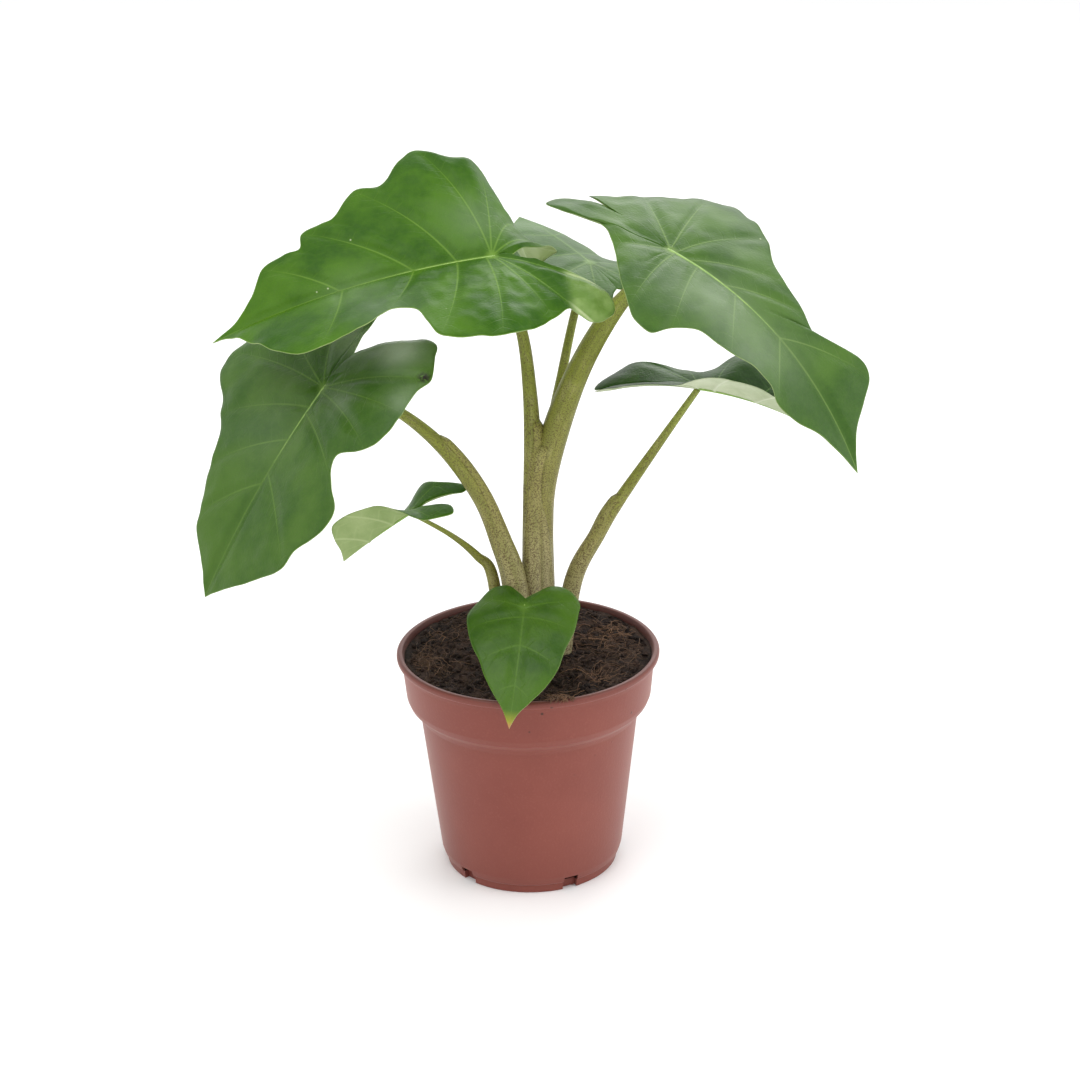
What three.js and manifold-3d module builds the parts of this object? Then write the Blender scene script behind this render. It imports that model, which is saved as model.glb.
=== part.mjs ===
// A potted alocasia: a nursery pot full of potting mix, seven speckled leaf stalks that
// leave the mix round the pot's axis, and one arrow-shaped blade on each stalk.
// Millimetres, +Z up, origin on the pot's axis in the plane that its feet stand on, -Y the front.
import * as THREE from "three";
import { mergeVertices } from "three/addons/utils/BufferGeometryUtils.js";
import Module from "manifold-3d";

const solids = await Module();
solids.setup();

// Driving dimensions of the pot.
const rimRadius = 60; // outside of the rolled rim
const potHeight = 105.2;
const wallThickness = 1.4;
const rimOverhang = 2.4; // rim beyond the collar's top
const collarDrop = 27.5; // rim down to the foot of the collar
const collarTaper = 2.6; // collar's top radius less its foot radius
const collarStep = 4.7; // collar's foot radius less the body's top radius
const bodyTaper = 8; // body's top radius less its foot radius
const footInset = 2.7; // body's foot radius less the foot ring's
const footRingWidth = 3.1;
const footRise = 4; // height of the foot ring's outer face
const floorUnderside = 2;
const floorThickness = 1.6;
const drainCount = 5;
const drainWidth = 7;
const drainHeight = 7;
const drainSkin = 0.6; // what each drain leaves of the foot ring, on its inside
const firstDrainAngle = -64.5; // from +X, so that one opening shows right of the front

// Driving dimensions of the plant.
const mixDrop = 5.2; // rim down to the mix, on the pot's axis
const mixTilt = 2.4; // how much lower the mix lies at the back wall, and higher at the front
const stalkDepth = 3; // how far a stalk's axis starts below the mix's level
const bladeThickness = 0.8;
const gap = 0.3; // between pieces that touch

const radians = THREE.MathUtils.degToRad;
const smooth = (x) => THREE.MathUtils.smoothstep(x, 0, 1);

// Each blade lies on a curved sheet with flat coordinates (u, v): u runs from the navel, where
// the stalk joins, along the midrib to the tip, and v to either side of it.
// navel is [x, y, height over the mix]. heading, pitch and roll set the midrib at the navel, and
// droop, sway and twist are how much they change on the way to the tip. fold is the angle of each
// half to the midrib and curl the bend of each half, both as [front half, basal lobe], and turn
// is [where the one gives way to the other, over what length]. A wave lifts a stretch of margin:
// [u, side, lift, length]. A station is a side vein: [where it leaves the midrib, u and v where
// it meets the left margin, u and v where it meets the right margin], from the tip round to the
// sinus, the gap between the two basal lobes. u counts in hundredths of length towards the tip
// and of lobe behind the navel, v in hundredths of halfWidth.
const leaves = {
  upper_left: {
    navel: [-12, -5, 191],
    heading: 188, pitch: -5, roll: -20,
    droop: -20, sway: -4, twist: 4, lobeDroop: 10,
    length: 126, lobe: 48, halfWidth: 64,
    fold: { left: [12, 6], right: [24, -20] },
    curl: { left: [-14, -22], right: [-14, -75] },
    turn: [-12, 30],
    waves: [[44, 1, 4, 12]],
    stations: [
      [100, 100, 0, 100, 0], [87, 93, 6, 90, 8], [71, 84, 34, 83, 19], [60, 78, 53, 76, 39],
      [52, 71, 66, 68, 45], [44, 63, 67, 62, 44], [36, 54, 62, 60, 56], [29, 45, 55, 53, 59],
      [22, 38, 48, 48, 61], [16, 30, 52, 40, 78], [12, 27, 73, 31, 77], [8, 24, 90, 23, 95],
      [4, 13, 95, 17, 102], [1, 4, 98, 7, 89], [0, -15, 91, -6, 84], [0, -42, 73, -27, 84],
      [0, -58, 65, -46, 75], [0, -77, 77, -60, 59], [0, -100, 66, -67, 41], [0, -85, 39, -48, 19],
      [0, -19, 0, -19, 0],
    ],
  },
  lower_left: {
    navel: [-85, -25, 140],
    heading: 212, pitch: -46, roll: -8,
    droop: -16, sway: -6, twist: -6, lobeDroop: 30,
    length: 104, lobe: 44, halfWidth: 62,
    fold: { left: [8, 5], right: [8, 5] },
    curl: { left: [-12, -25], right: [-10, -18] },
    turn: [0, 52],
    waves: [],
    stations: [
      [100, 100, 0, 100, 0], [89, 94, 13, 92, 10], [76, 87, 31, 87, 19], [62, 79, 48, 79, 33],
      [45, 71, 65, 71, 39], [37, 61, 69, 61, 46], [28, 50, 81, 51, 53], [21, 40, 82, 41, 60],
      [12, 33, 70, 32, 72], [8, 27, 58, 25, 82], [4, 20, 55, 16, 99], [1, 13, 74, 7, 103],
      [0, 3, 81, -14, 98], [0, -20, 77, -41, 87], [0, -48, 71, -68, 73], [0, -70, 71, -91, 55],
      [0, -93, 55, -105, 35], [0, -105, 42, -91, 16], [0, -80, 19, -64, 8], [0, -45, 0, -45, 0],
    ],
  },
  upper_right: {
    navel: [64, -15, 195],
    heading: -26, pitch: -22, roll: 8,
    droop: -34, sway: -30, twist: 0, lobeDroop: 5,
    length: 128, lobe: 52, halfWidth: 60,
    fold: { left: [10, 4], right: [6, 4] },
    curl: { left: [-22, -22], right: [-24, -22] },
    turn: [0, 63],
    waves: [],
    stations: [
      [100, 100, 0, 100, 0], [90, 93, 5, 93, 7], [79, 86, 13, 84, 18], [66, 79, 28, 77, 30],
      [48, 72, 43, 69, 37], [41, 66, 45, 61, 34], [34, 58, 35, 53, 37], [28, 52, 26, 45, 46],
      [21, 45, 32, 38, 50], [16, 39, 38, 30, 56], [9, 33, 42, 24, 70], [7, 25, 52, 20, 85],
      [3, 18, 72, 12, 86], [1, 9, 93, 5, 78], [0, 0, 112, -6, 65], [0, -19, 107, -23, 45],
      [0, -38, 77, -40, 25], [0, -56, 53, -63, 10], [0, -73, 32, -94, 16], [0, -88, 18, -110, 13],
      [0, -75, 24, -96, -6], [0, -46, 26, -54, -15], [0, -6, 0, -6, 0],
    ],
  },
  back: {
    navel: [31, 48, 172.5],
    heading: 122, pitch: 14, roll: 0,
    droop: -12, sway: 0, twist: 0, lobeDroop: 10,
    length: 60, lobe: 30, halfWidth: 30,
    fold: { left: [0, 5], right: [-18, 5] },
    curl: { left: [-10, -20], right: [-20, -20] },
    turn: [0, 30],
    waves: [],
    stations: [
      [100, 100, 0, 100, 0], [77, 87, 27, 87, 20], [50, 70, 57, 70, 43], [33, 50, 80, 50, 63],
      [15, 30, 93, 30, 77], [3, 8, 97, 8, 83], [0, -27, 90, -27, 80], [0, -67, 73, -67, 67],
      [0, -103, 50, -103, 47], [0, -103, 27, -103, 23], [0, -87, 12, -87, 10], [0, -77, 0, -77, 0],
    ],
  },
  small_right: {
    navel: [77, -5, 130],
    heading: -8, pitch: -8, roll: 0,
    droop: -20, sway: 0, twist: 0, lobeDroop: 26,
    length: 49, lobe: 44, halfWidth: 26,
    fold: { left: [36, 20], right: [44, 28] },
    curl: { left: [-20, -30], right: [-14, -30] },
    turn: [0, 24],
    waves: [[2, 1, -9, 9], [-24, 1, 2, 10]],
    stations: [
      [100, 100, 0, 100, 0], [76, 86, 31, 84, 23], [53, 69, 62, 65, 46], [33, 51, 92, 47, 62],
      [14, 29, 112, 24, 69], [4, 10, 92, 4, 69], [0, -14, 58, -20, 65], [0, -41, 65, -45, 58],
      [0, -70, 88, -70, 54], [0, -91, 58, -91, 35], [0, -105, 15, -100, 15], [0, -55, 8, -50, 8],
      [0, -18, 0, -18, 0],
    ],
  },
  small_left: {
    navel: [-50.7, -14, 77.6],
    heading: 170, pitch: -36, roll: 0,
    droop: -5, sway: 0, twist: 0, lobeDroop: 40,
    length: 40, lobe: 26, halfWidth: 24,
    fold: { left: [74, -5], right: [0, 28] },
    curl: { left: [-20, -20], right: [-10, -20] },
    turn: [0, 20],
    waves: [],
    stations: [
      [100, 100, 0, 100, 0], [80, 92, 21, 92, 17], [60, 85, 50, 80, 38], [40, 74, 75, 62, 54],
      [25, 55, 75, 45, 67], [12, 32, 62, 28, 71], [2, 10, 46, 10, 71], [0, -19, 54, -19, 71],
      [0, -54, 62, -54, 50], [0, -88, 50, -96, 38], [0, -81, 25, -92, 17], [0, -46, 12, -46, 12],
      [0, -23, 0, -23, 0],
    ],
  },
  front: {
    navel: [-1, -35, 40],
    heading: -97, pitch: -34, roll: 0,
    droop: -15, sway: -6, twist: -2, lobeDroop: 15,
    length: 58, lobe: 14, halfWidth: 25,
    fold: { left: [5, 2], right: [6, 0] },
    curl: { left: [-14, -23], right: [-13, -27] },
    turn: [0, 29],
    waves: [],
    stations: [
      [100, 100, 0, 100, 0], [83, 88, 12, 86, 16], [66, 78, 32, 74, 36], [48, 64, 56, 60, 56],
      [33, 50, 72, 48, 68], [21, 34, 80, 36, 84], [9, 19, 92, 21, 96], [2, 3, 96, 5, 100],
      [0, -43, 96, -43, 84], [0, -86, 72, -86, 64], [0, -93, 44, -93, 36], [0, -64, 20, -64, 16],
      [0, -36, 0, -36, 0],
    ],
  },
};

// Each stalk leaves the mix at foot, [x, y, radius], and runs through the knots, [x, y, height
// over the mix, radius], to its blade's navel, where its radius is end. A later stalk gives way
// where it wraps round an earlier one.
const stalks = {
  upper_right: {
    foot: [5.5, 3, 7.3],
    knots: [[5.8, 1, 30, 7], [6, -2, 64, 6.5], [8, -5, 87, 6.2], [14.8, -7, 114, 6],
      [24.8, -9.5, 141, 5.1], [36.6, -11.5, 163, 4.4], [49, -13, 179, 3]],
    end: 1.9,
  },
  upper_left: {
    foot: [1, -8, 4.4],
    knots: [[2, -7.5, 40, 4.2], [3, -7, 75, 4.1], [3.8, -6.5, 107, 3.8], [3, -6, 132, 3.1],
      [0.4, -5.4, 156, 2.6], [-6, -5.2, 177, 2.2]],
    end: 1.9,
  },
  lower_left: {
    foot: [-4, -14, 5.6],
    knots: [[-5.4, -14.5, 41, 5.4], [-11.2, -15, 64, 4.7], [-19.2, -16, 85, 3.9],
      [-34.4, -18.5, 108.6, 3.2], [-52.6, -21, 126.4, 2.4], [-70, -23, 135, 1.9]],
    end: 1.6,
  },
  back: {
    foot: [8, 15, 3],
    knots: [[9.6, 21, 48, 2.8], [12, 29, 94, 2.7], [18, 37, 125, 2.2], [24.2, 43, 151.5, 1.9]],
    end: 1.5,
  },
  small_right: {
    foot: [15, 1, 4.2],
    knots: [[21.4, 0, 38, 3.9], [32.6, -1, 61, 3.4], [42, -1.8, 77, 2.8], [61.6, -3.6, 107, 1.9]],
    end: 1.3,
  },
  small_left: {
    foot: [-11, -6, 3],
    knots: [[-15, -8, 43, 2.7], [-22, -10, 55, 1.9], [-33.4, -12, 66, 1.2]],
    end: 0.9,
  },
  front: {
    foot: [2, -18.5, 2],
    knots: [[2.4, -24, 22, 1.5], [0.6, -31, 34, 1.1]],
    end: 0.9,
  },
};

const mixLevel = potHeight - mixDrop;
const overMix = ([x, y, height]) => new THREE.Vector3(x, y, mixLevel + height);

function toSolid(geometry) {
  const merged = mergeVertices(geometry, 1e-4);
  const mesh = new solids.Mesh({
    numProp: 3,
    vertProperties: merged.attributes.position.array,
    triVerts: new Uint32Array(merged.index.array),
  });
  return new solids.Manifold(mesh);
}

function toGeometry(solid) {
  const mesh = solid.getMesh();
  const geometry = new THREE.BufferGeometry();
  geometry.setAttribute("position", new THREE.BufferAttribute(mesh.vertProperties, 3));
  geometry.setIndex(new THREE.BufferAttribute(mesh.triVerts, 1));
  return geometry;
}

function fromLists(points, triangles) {
  const flat = points.flatMap((point) => [point.x, point.y, point.z]);
  const geometry = new THREE.BufferGeometry();
  geometry.setAttribute("position", new THREE.Float32BufferAttribute(flat, 3));
  geometry.setIndex(triangles);
  return geometry;
}

// The midrib of a leaf: its points and its three directions, sampled along u.
function midrib(leaf) {
  const samples = [];
  const behind = 1.5 * leaf.lobe;
  const ahead = 1.2 * leaf.length;
  const steps = 120;
  for (let i = 0; i <= steps; i++) {
    const u = -behind + ((ahead + behind) * i) / steps;
    const towardTip = Math.max(0, u / leaf.length);
    const towardLobe = Math.max(0, -u / leaf.lobe);
    const heading = radians(leaf.heading + leaf.sway * towardTip);
    const pitch = radians(leaf.pitch + leaf.droop * towardTip + leaf.lobeDroop * towardLobe);
    const roll = radians(leaf.roll + leaf.twist * towardTip);
    const level = Math.cos(pitch);
    const along = new THREE.Vector3(
      level * Math.cos(heading), level * Math.sin(heading), Math.sin(pitch));
    const levelSide = new THREE.Vector3(-Math.sin(heading), Math.cos(heading), 0);
    const up = new THREE.Vector3().crossVectors(along, levelSide);
    const side = levelSide.clone().multiplyScalar(Math.cos(roll)).addScaledVector(up, Math.sin(roll));
    const normal = up.multiplyScalar(Math.cos(roll)).addScaledVector(levelSide, -Math.sin(roll));
    samples.push({ u, along, side, normal, point: new THREE.Vector3() });
  }
  for (let i = 1; i <= steps; i++) {
    const before = samples[i - 1];
    const here = samples[i];
    const mean = before.along.clone().add(here.along).multiplyScalar((here.u - before.u) / 2);
    here.point.addVectors(before.point, mean);
  }
  const at = (u) => {
    const place = ((u + behind) / (ahead + behind)) * steps;
    const i = Math.min(steps - 1, Math.max(0, Math.floor(place)));
    const share = place - i;
    const blend = (key) => samples[i][key].clone().lerp(samples[i + 1][key], share);
    return { point: blend("point"), side: blend("side"), normal: blend("normal") };
  };
  const start = at(0).point;
  const shift = overMix(leaf.navel).sub(start);
  return (u) => {
    const frame = at(u);
    frame.point.add(shift);
    return frame;
  };
}

// The sheet that a blade lies on, as a function of its flat coordinates.
function sheet(leaf) {
  const frameAt = midrib(leaf);
  return (u, v) => {
    const frame = frameAt(u);
    const lobeShare = smooth(0.5 - (u - leaf.turn[0]) / leaf.turn[1]);
    const name = v >= 0 ? "left" : "right";
    const sign = v >= 0 ? 1 : -1;
    const mix = ([front, lobe]) => radians(front * (1 - lobeShare) + lobe * lobeShare);
    const start = mix(leaf.fold[name]);
    const rate = (mix(leaf.curl[name]) || 1e-6) / leaf.halfWidth;
    const out = Math.abs(v);
    const across = (Math.sin(start + rate * out) - Math.sin(start)) / rate;
    let rise = (Math.cos(start) - Math.cos(start + rate * out)) / rate;
    for (const [centre, side, lift, reach] of leaf.waves) {
      const near = Math.exp(-(((u - centre) / reach) ** 2));
      if (side === sign) rise += lift * near * (out / leaf.halfWidth) ** 2;
    }
    return frame.point.addScaledVector(frame.side, sign * across).addScaledVector(frame.normal, rise);
  };
}

// A blade as one closed skin of the given thickness: rays run from the midrib out to a smooth
// margin through the stations, on both halves.
function blade(leaf, thickness, perStation, rows) {
  const place = sheet(leaf);
  const count = leaf.stations.length - 1;
  const toU = (u) => (u / 100) * (u < 0 ? leaf.lobe : leaf.length);
  const toV = (v) => (v / 100) * leaf.halfWidth;
  const marginOf = (k, sign) =>
    new THREE.SplineCurve(leaf.stations.map((s) => new THREE.Vector2(toU(s[k]), sign * toV(s[k + 1]))));
  const left = marginOf(1, 1);
  const right = marginOf(3, -1);
  const columns = count * perStation;
  const points = [];
  const flat = [];
  const keys = new Map();
  const vertex = (u, v) => {
    const key = u.toFixed(3) + "," + v.toFixed(3);
    if (keys.has(key)) return keys.get(key);
    keys.set(key, flat.length);
    flat.push([u, v]);
    return flat.length - 1;
  };
  const triangles = [];
  const edge = [];
  const add = (a, b, c) => {
    if (a !== b && b !== c && a !== c) triangles.push([a, b, c]);
  };
  for (const [margin, sign] of [[left, 1], [right, -1]]) {
    const grid = [];
    for (let i = 0; i <= columns; i++) {
      const where = i / perStation;
      const low = Math.min(count - 1, Math.floor(where));
      const [from, to] = [leaf.stations[low][0], leaf.stations[low + 1][0]];
      const root = toU(THREE.MathUtils.lerp(from, to, where - low));
      const outer = margin.getPoint(i / columns);
      if (i === 0 || i === columns) outer.y = 0;
      const row = [];
      for (let j = 0; j <= rows; j++) {
        const share = j / rows;
        row.push(vertex(root + (outer.x - root) * share, outer.y * share + 0));
      }
      grid.push(row);
    }
    for (let i = 0; i < columns; i++) {
      for (let j = 0; j < rows; j++) {
        const [a, b, c, d] = [grid[i][j], grid[i][j + 1], grid[i + 1][j + 1], grid[i + 1][j]];
        if (sign > 0) {
          add(a, b, c);
          add(a, c, d);
        } else {
          add(a, c, b);
          add(a, d, c);
        }
      }
      edge.push([grid[i][rows], grid[i + 1][rows], sign]);
    }
  }
  const step = 0.5;
  const total = flat.length;
  const top = [];
  const bottom = [];
  for (const [u, v] of flat) {
    const alongU = place(u + step, v).sub(place(u - step, v));
    const alongV = place(u, v + step).sub(place(u, v - step));
    const normal = alongU.cross(alongV).normalize();
    const middle = place(u, v);
    top.push(middle.clone().addScaledVector(normal, thickness / 2));
    bottom.push(middle.clone().addScaledVector(normal, -thickness / 2));
  }
  const faces = [];
  for (const [a, b, c] of triangles) {
    faces.push(a, b, c);
    faces.push(a + total, c + total, b + total);
  }
  for (const [a, b, sign] of edge) {
    if (a === b) continue;
    const [from, to] = sign > 0 ? [b, a] : [a, b];
    faces.push(from, to, to + total);
    faces.push(from, to + total, from + total);
  }
  points.push(...top, ...bottom);
  return fromLists(points, faces);
}

// A stalk: round rings along a smooth line, closed by a flat end at each end.
function stalk(knotPoints, radii, extra) {
  const path = new THREE.CatmullRomCurve3(knotPoints, false, "catmullrom", 0.5);
  const sides = 10;
  const rings = 2 * (knotPoints.length - 1);
  const points = [];
  const faces = [];
  for (let i = 0; i <= rings; i++) {
    const share = i / rings;
    const centre = path.getPoint(share);
    const along = i === 0 ? new THREE.Vector3(0, 0, 1) : path.getTangent(share);
    const across = new THREE.Vector3(0, 1, 0).cross(along).normalize();
    const other = along.clone().cross(across);
    const low = Math.min(radii.length - 2, Math.floor(i / 2));
    const radius = THREE.MathUtils.lerp(radii[low], radii[low + 1], i / 2 - low) + extra;
    for (let j = 0; j < sides; j++) {
      const turn = (j / sides) * 2 * Math.PI;
      const spoke = across.clone().multiplyScalar(Math.cos(turn) * radius);
      points.push(centre.clone().add(spoke).addScaledVector(other, Math.sin(turn) * radius));
    }
  }
  for (let j = 0; j < sides; j++) {
    const next = (j + 1) % sides;
    for (let i = 0; i < rings; i++) {
      const a = i * sides;
      const b = a + sides;
      faces.push(a + j, a + next, b + next, a + j, b + next, b + j);
    }
    if (j > 0 && j < sides - 1) {
      faces.push(0, j + 1, j);
      faces.push(rings * sides, rings * sides + j, rings * sides + j + 1);
    }
  }
  return fromLists(points, faces);
}

function largest(solid) {
  const bodies = solid.decompose();
  bodies.sort((a, b) => b.volume() - a.volume());
  return bodies[0];
}

const collarFoot = potHeight - collarDrop;
const floorTop = floorUnderside + floorThickness;
const collarTopRadius = rimRadius - rimOverhang;
const collarFootRadius = collarTopRadius - collarTaper;
const bodyTopRadius = collarFootRadius - collarStep;
const bodyFootRadius = bodyTopRadius - bodyTaper;
const footRadius = bodyFootRadius - footInset;
const footInnerRadius = footRadius - footRingWidth;

// The pot's section: up the outside, over the rim and down the inside.
const outside = [
  [footRadius, 0], [footRadius + 0.3, footRise], [bodyFootRadius - 1.1, footRise + 0.6],
  [bodyFootRadius, footRise + 4], [bodyTopRadius, collarFoot - 2.5],
  [bodyTopRadius + 0.9, collarFoot], [collarFootRadius, collarFoot + 3.5],
  [collarFootRadius + 1.2, collarFoot + 6.5], [collarTopRadius, potHeight - 6],
  [collarTopRadius + 0.8, potHeight - 3.2], [rimRadius, potHeight - 2.5],
  [rimRadius, potHeight - 1], [rimRadius - 0.8, potHeight],
];
const inside = [
  [rimRadius - 2 * wallThickness, potHeight - 0.2], [collarTopRadius - wallThickness, potHeight - 6],
  [collarFootRadius + 1.2 - wallThickness, collarFoot + 6.5],
  [collarFootRadius - wallThickness, collarFoot + 4], [bodyTopRadius - wallThickness, collarFoot - 1],
  [bodyFootRadius - wallThickness, footRise + 4], [footRadius, floorTop],
];
const underneath = [[footInnerRadius, floorUnderside], [footInnerRadius, 0]];

function revolve(profile, segments) {
  const points = profile.map(([r, z]) => new THREE.Vector2(r, z));
  const geometry = new THREE.LatheGeometry(points, segments);
  geometry.rotateX(Math.PI / 2);
  geometry.deleteAttribute("normal");
  geometry.deleteAttribute("uv");
  return geometry;
}

function closedSolid(profile, segments) {
  const geometry = revolve(profile, segments);
  const solid = toSolid(geometry);
  return solid.volume() > 0 ? solid : toSolid(flipped(geometry));
}

function flipped(geometry) {
  const index = geometry.index.array;
  for (let i = 0; i < index.length; i += 3) {
    [index[i + 1], index[i + 2]] = [index[i + 2], index[i + 1]];
  }
  return geometry;
}

function potSolid() {
  const profile = [...outside, ...inside, [0, floorTop], [0, floorUnderside], ...underneath];
  let pot = closedSolid([...profile, outside[0]], 48);
  const depth = bodyFootRadius - footInnerRadius + 5;
  for (let i = 0; i < drainCount; i++) {
    const angle = radians(firstDrainAngle + (i * 360) / drainCount);
    const box = new THREE.BoxGeometry(depth, drainWidth, 2 * drainHeight);
    box.deleteAttribute("normal");
    box.deleteAttribute("uv");
    box.translate(footInnerRadius + drainSkin + depth / 2, 0, 0);
    box.rotateZ(angle);
    pot = pot.subtract(toSolid(box));
  }
  return pot;
}

// The potting mix: it follows the pot's inside with a gap, under an uneven top.
function soilSolid() {
  const wall = inside.slice(2).reverse().map(([r, z]) => [r - gap, z === floorTop ? z + gap : z]);
  const points = [new THREE.Vector3(0, 0, floorTop + gap)];
  const faces = [];
  const spokes = 32;
  const tops = [1, 0.82, 0.6, 0.36, 0.14];
  const rings = wall.length + tops.length;
  const innerAt = (z) => {
    const [high, low] = [inside[1], inside[2]];
    return low[0] + ((high[0] - low[0]) * (z - low[1])) / (high[1] - low[1]) - gap;
  };
  const topAt = (x, y) =>
    mixLevel - (mixTilt * y) / rimRadius + 0.5 * Math.sin(x / 7 + 1) * Math.cos(y / 9);
  for (let k = 0; k < rings; k++) {
    for (let j = 0; j < spokes; j++) {
      const turn = (j / spokes) * 2 * Math.PI;
      const edgeRadius = innerAt(mixLevel);
      const edgeZ = topAt(edgeRadius * Math.cos(turn), edgeRadius * Math.sin(turn));
      const radius = k < wall.length ? wall[k][0] : innerAt(edgeZ) * tops[k - wall.length];
      const x = radius * Math.cos(turn);
      const y = radius * Math.sin(turn);
      const z = k < wall.length ? wall[k][1] : k === wall.length ? edgeZ : topAt(x, y);
      points.push(new THREE.Vector3(x, y, z));
    }
  }
  points.push(new THREE.Vector3(0, 0, topAt(0, 0)));
  const last = points.length - 1;
  for (let j = 0; j < spokes; j++) {
    const next = (j + 1) % spokes;
    faces.push(0, 1 + next, 1 + j);
    for (let k = 0; k < rings - 1; k++) {
      const a = 1 + k * spokes;
      const b = a + spokes;
      faces.push(a + j, a + next, b + next, a + j, b + next, b + j);
    }
    const end = 1 + (rings - 1) * spokes;
    faces.push(end + j, end + next, last);
  }
  return toSolid(fromLists(points, faces));
}

const group = new THREE.Group();

function show(name, geometry, color, roughness) {
  const material = new THREE.MeshStandardMaterial({ color, roughness, metalness: 0 });
  const mesh = new THREE.Mesh(geometry, material);
  mesh.name = name;
  group.add(mesh);
}

show("pot", toGeometry(potSolid()), 0x8c5046, 0.5);
const soil = soilSolid();
show("potting_mix", toGeometry(soil), 0x3a2a20, 0.95);

// A little more than the mix, so that a stalk's foot stops short of it.
const soilClearance = soil.translate([0, 0, gap]);
const placed = [];
for (const [name, { foot, knots, end }] of Object.entries(stalks)) {
  const knotList = [[foot[0], foot[1], -stalkDepth, foot[2]], ...knots, [...leaves[name].navel, end]];
  const points = knotList.map(overMix);
  const radii = knotList.map((knot) => knot[3]);
  let solid = toSolid(stalk(points, radii, 0)).subtract(soilClearance);
  for (const other of placed) solid = solid.subtract(other);
  const big = leaves[name].length > 100;
  const bladeClearance = toSolid(blade(leaves[name], bladeThickness + 2 * gap, 2, big ? 4 : 3));
  solid = largest(solid.subtract(bladeClearance));
  placed.push(toSolid(stalk(points, radii, gap)));
  show("stalk_" + name, toGeometry(solid), 0x8a8b3a, 0.55);
}
for (const [name, leaf] of Object.entries(leaves)) {
  const big = leaf.length > 100;
  const geometry = blade(leaf, bladeThickness, 2, big ? 4 : 3);
  show("blade_" + name, geometry, 0x4f8a38, 0.45);
}

export default group;
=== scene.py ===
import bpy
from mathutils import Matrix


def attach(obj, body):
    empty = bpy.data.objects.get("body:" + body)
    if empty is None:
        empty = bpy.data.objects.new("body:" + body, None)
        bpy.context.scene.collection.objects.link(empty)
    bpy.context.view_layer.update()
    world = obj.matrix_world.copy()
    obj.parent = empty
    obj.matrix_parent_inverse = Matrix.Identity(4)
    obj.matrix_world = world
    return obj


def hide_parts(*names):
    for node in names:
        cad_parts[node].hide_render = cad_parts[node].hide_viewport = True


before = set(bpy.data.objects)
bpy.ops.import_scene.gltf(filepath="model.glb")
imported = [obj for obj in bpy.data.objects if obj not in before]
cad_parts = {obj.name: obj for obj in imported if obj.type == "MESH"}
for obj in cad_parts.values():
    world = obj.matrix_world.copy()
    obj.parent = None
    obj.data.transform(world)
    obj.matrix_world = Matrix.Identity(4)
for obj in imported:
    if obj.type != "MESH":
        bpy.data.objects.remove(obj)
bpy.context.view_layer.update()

import math
import random

import bmesh
import bpy
import numpy as np
from mathutils import Matrix, Vector, noise

MM = 0.001

# ---------------------------------------------------------------- camera
camera_data = bpy.data.cameras.new("camera")
camera_data.lens = 89.07
camera_data.sensor_width = 36
camera_data.clip_end = 20
camera = bpy.data.objects.new("camera", camera_data)
bpy.context.scene.collection.objects.link(camera)
eye = (0.0064, -1.114, 0.6038)
elevation, roll = math.radians(21.82), math.radians(-1.08)
forward = Vector((0, math.cos(elevation), -math.sin(elevation)))
right = Vector((1, 0, 0))
up = right.cross(forward)
cam_right = right * math.cos(roll) + up * math.sin(roll)
cam_up = up * math.cos(roll) - right * math.sin(roll)
facing = Matrix((cam_right, cam_up, -forward)).transposed().to_4x4()
camera.matrix_world = Matrix.Translation(eye) @ facing
bpy.context.scene.camera = camera

# ---------------------------------------------------------------- leaves
# Flat coordinates of a blade: u along the midrib from the navel to the tip, v to each side.
# A margin row is (root u of its ray, margin u, margin v, 1 where a main vein runs), with u in
# hundredths of length, or of lobe behind the navel, and v in hundredths of half_width. The 0
# of a row without a vein is left out, and so is the row of the tip, which all halves share.
# Angles are in degrees. heading, pitch and roll hold at the navel; sway, droop and twist are
# what they gain by the tip, and lobe_droop is what pitch gains by the end of the lobes. fold
# and curl are (ahead, on the lobe) for the left half and for the right, and turn is the
# (u, width) of the change between the two. waves are (u, side, lift, reach), and painted_sheen
# is (u, v, reach, strength) of whitish patches of painted sheen and painted light. The scar is
# at (u, v), and the drooping end of the left lobe is painted paler, a painted sheen, at pale
# behind the navel. quilt and dent are how deep the tissue swells and dents, and tint and under
# name the colours.
USUAL = dict(roll=0, sway=0, twist=0, waves=[], painted_sheen=[], dent=0, pale=1000, scar=(10000, 0),
             under="plain")
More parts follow.
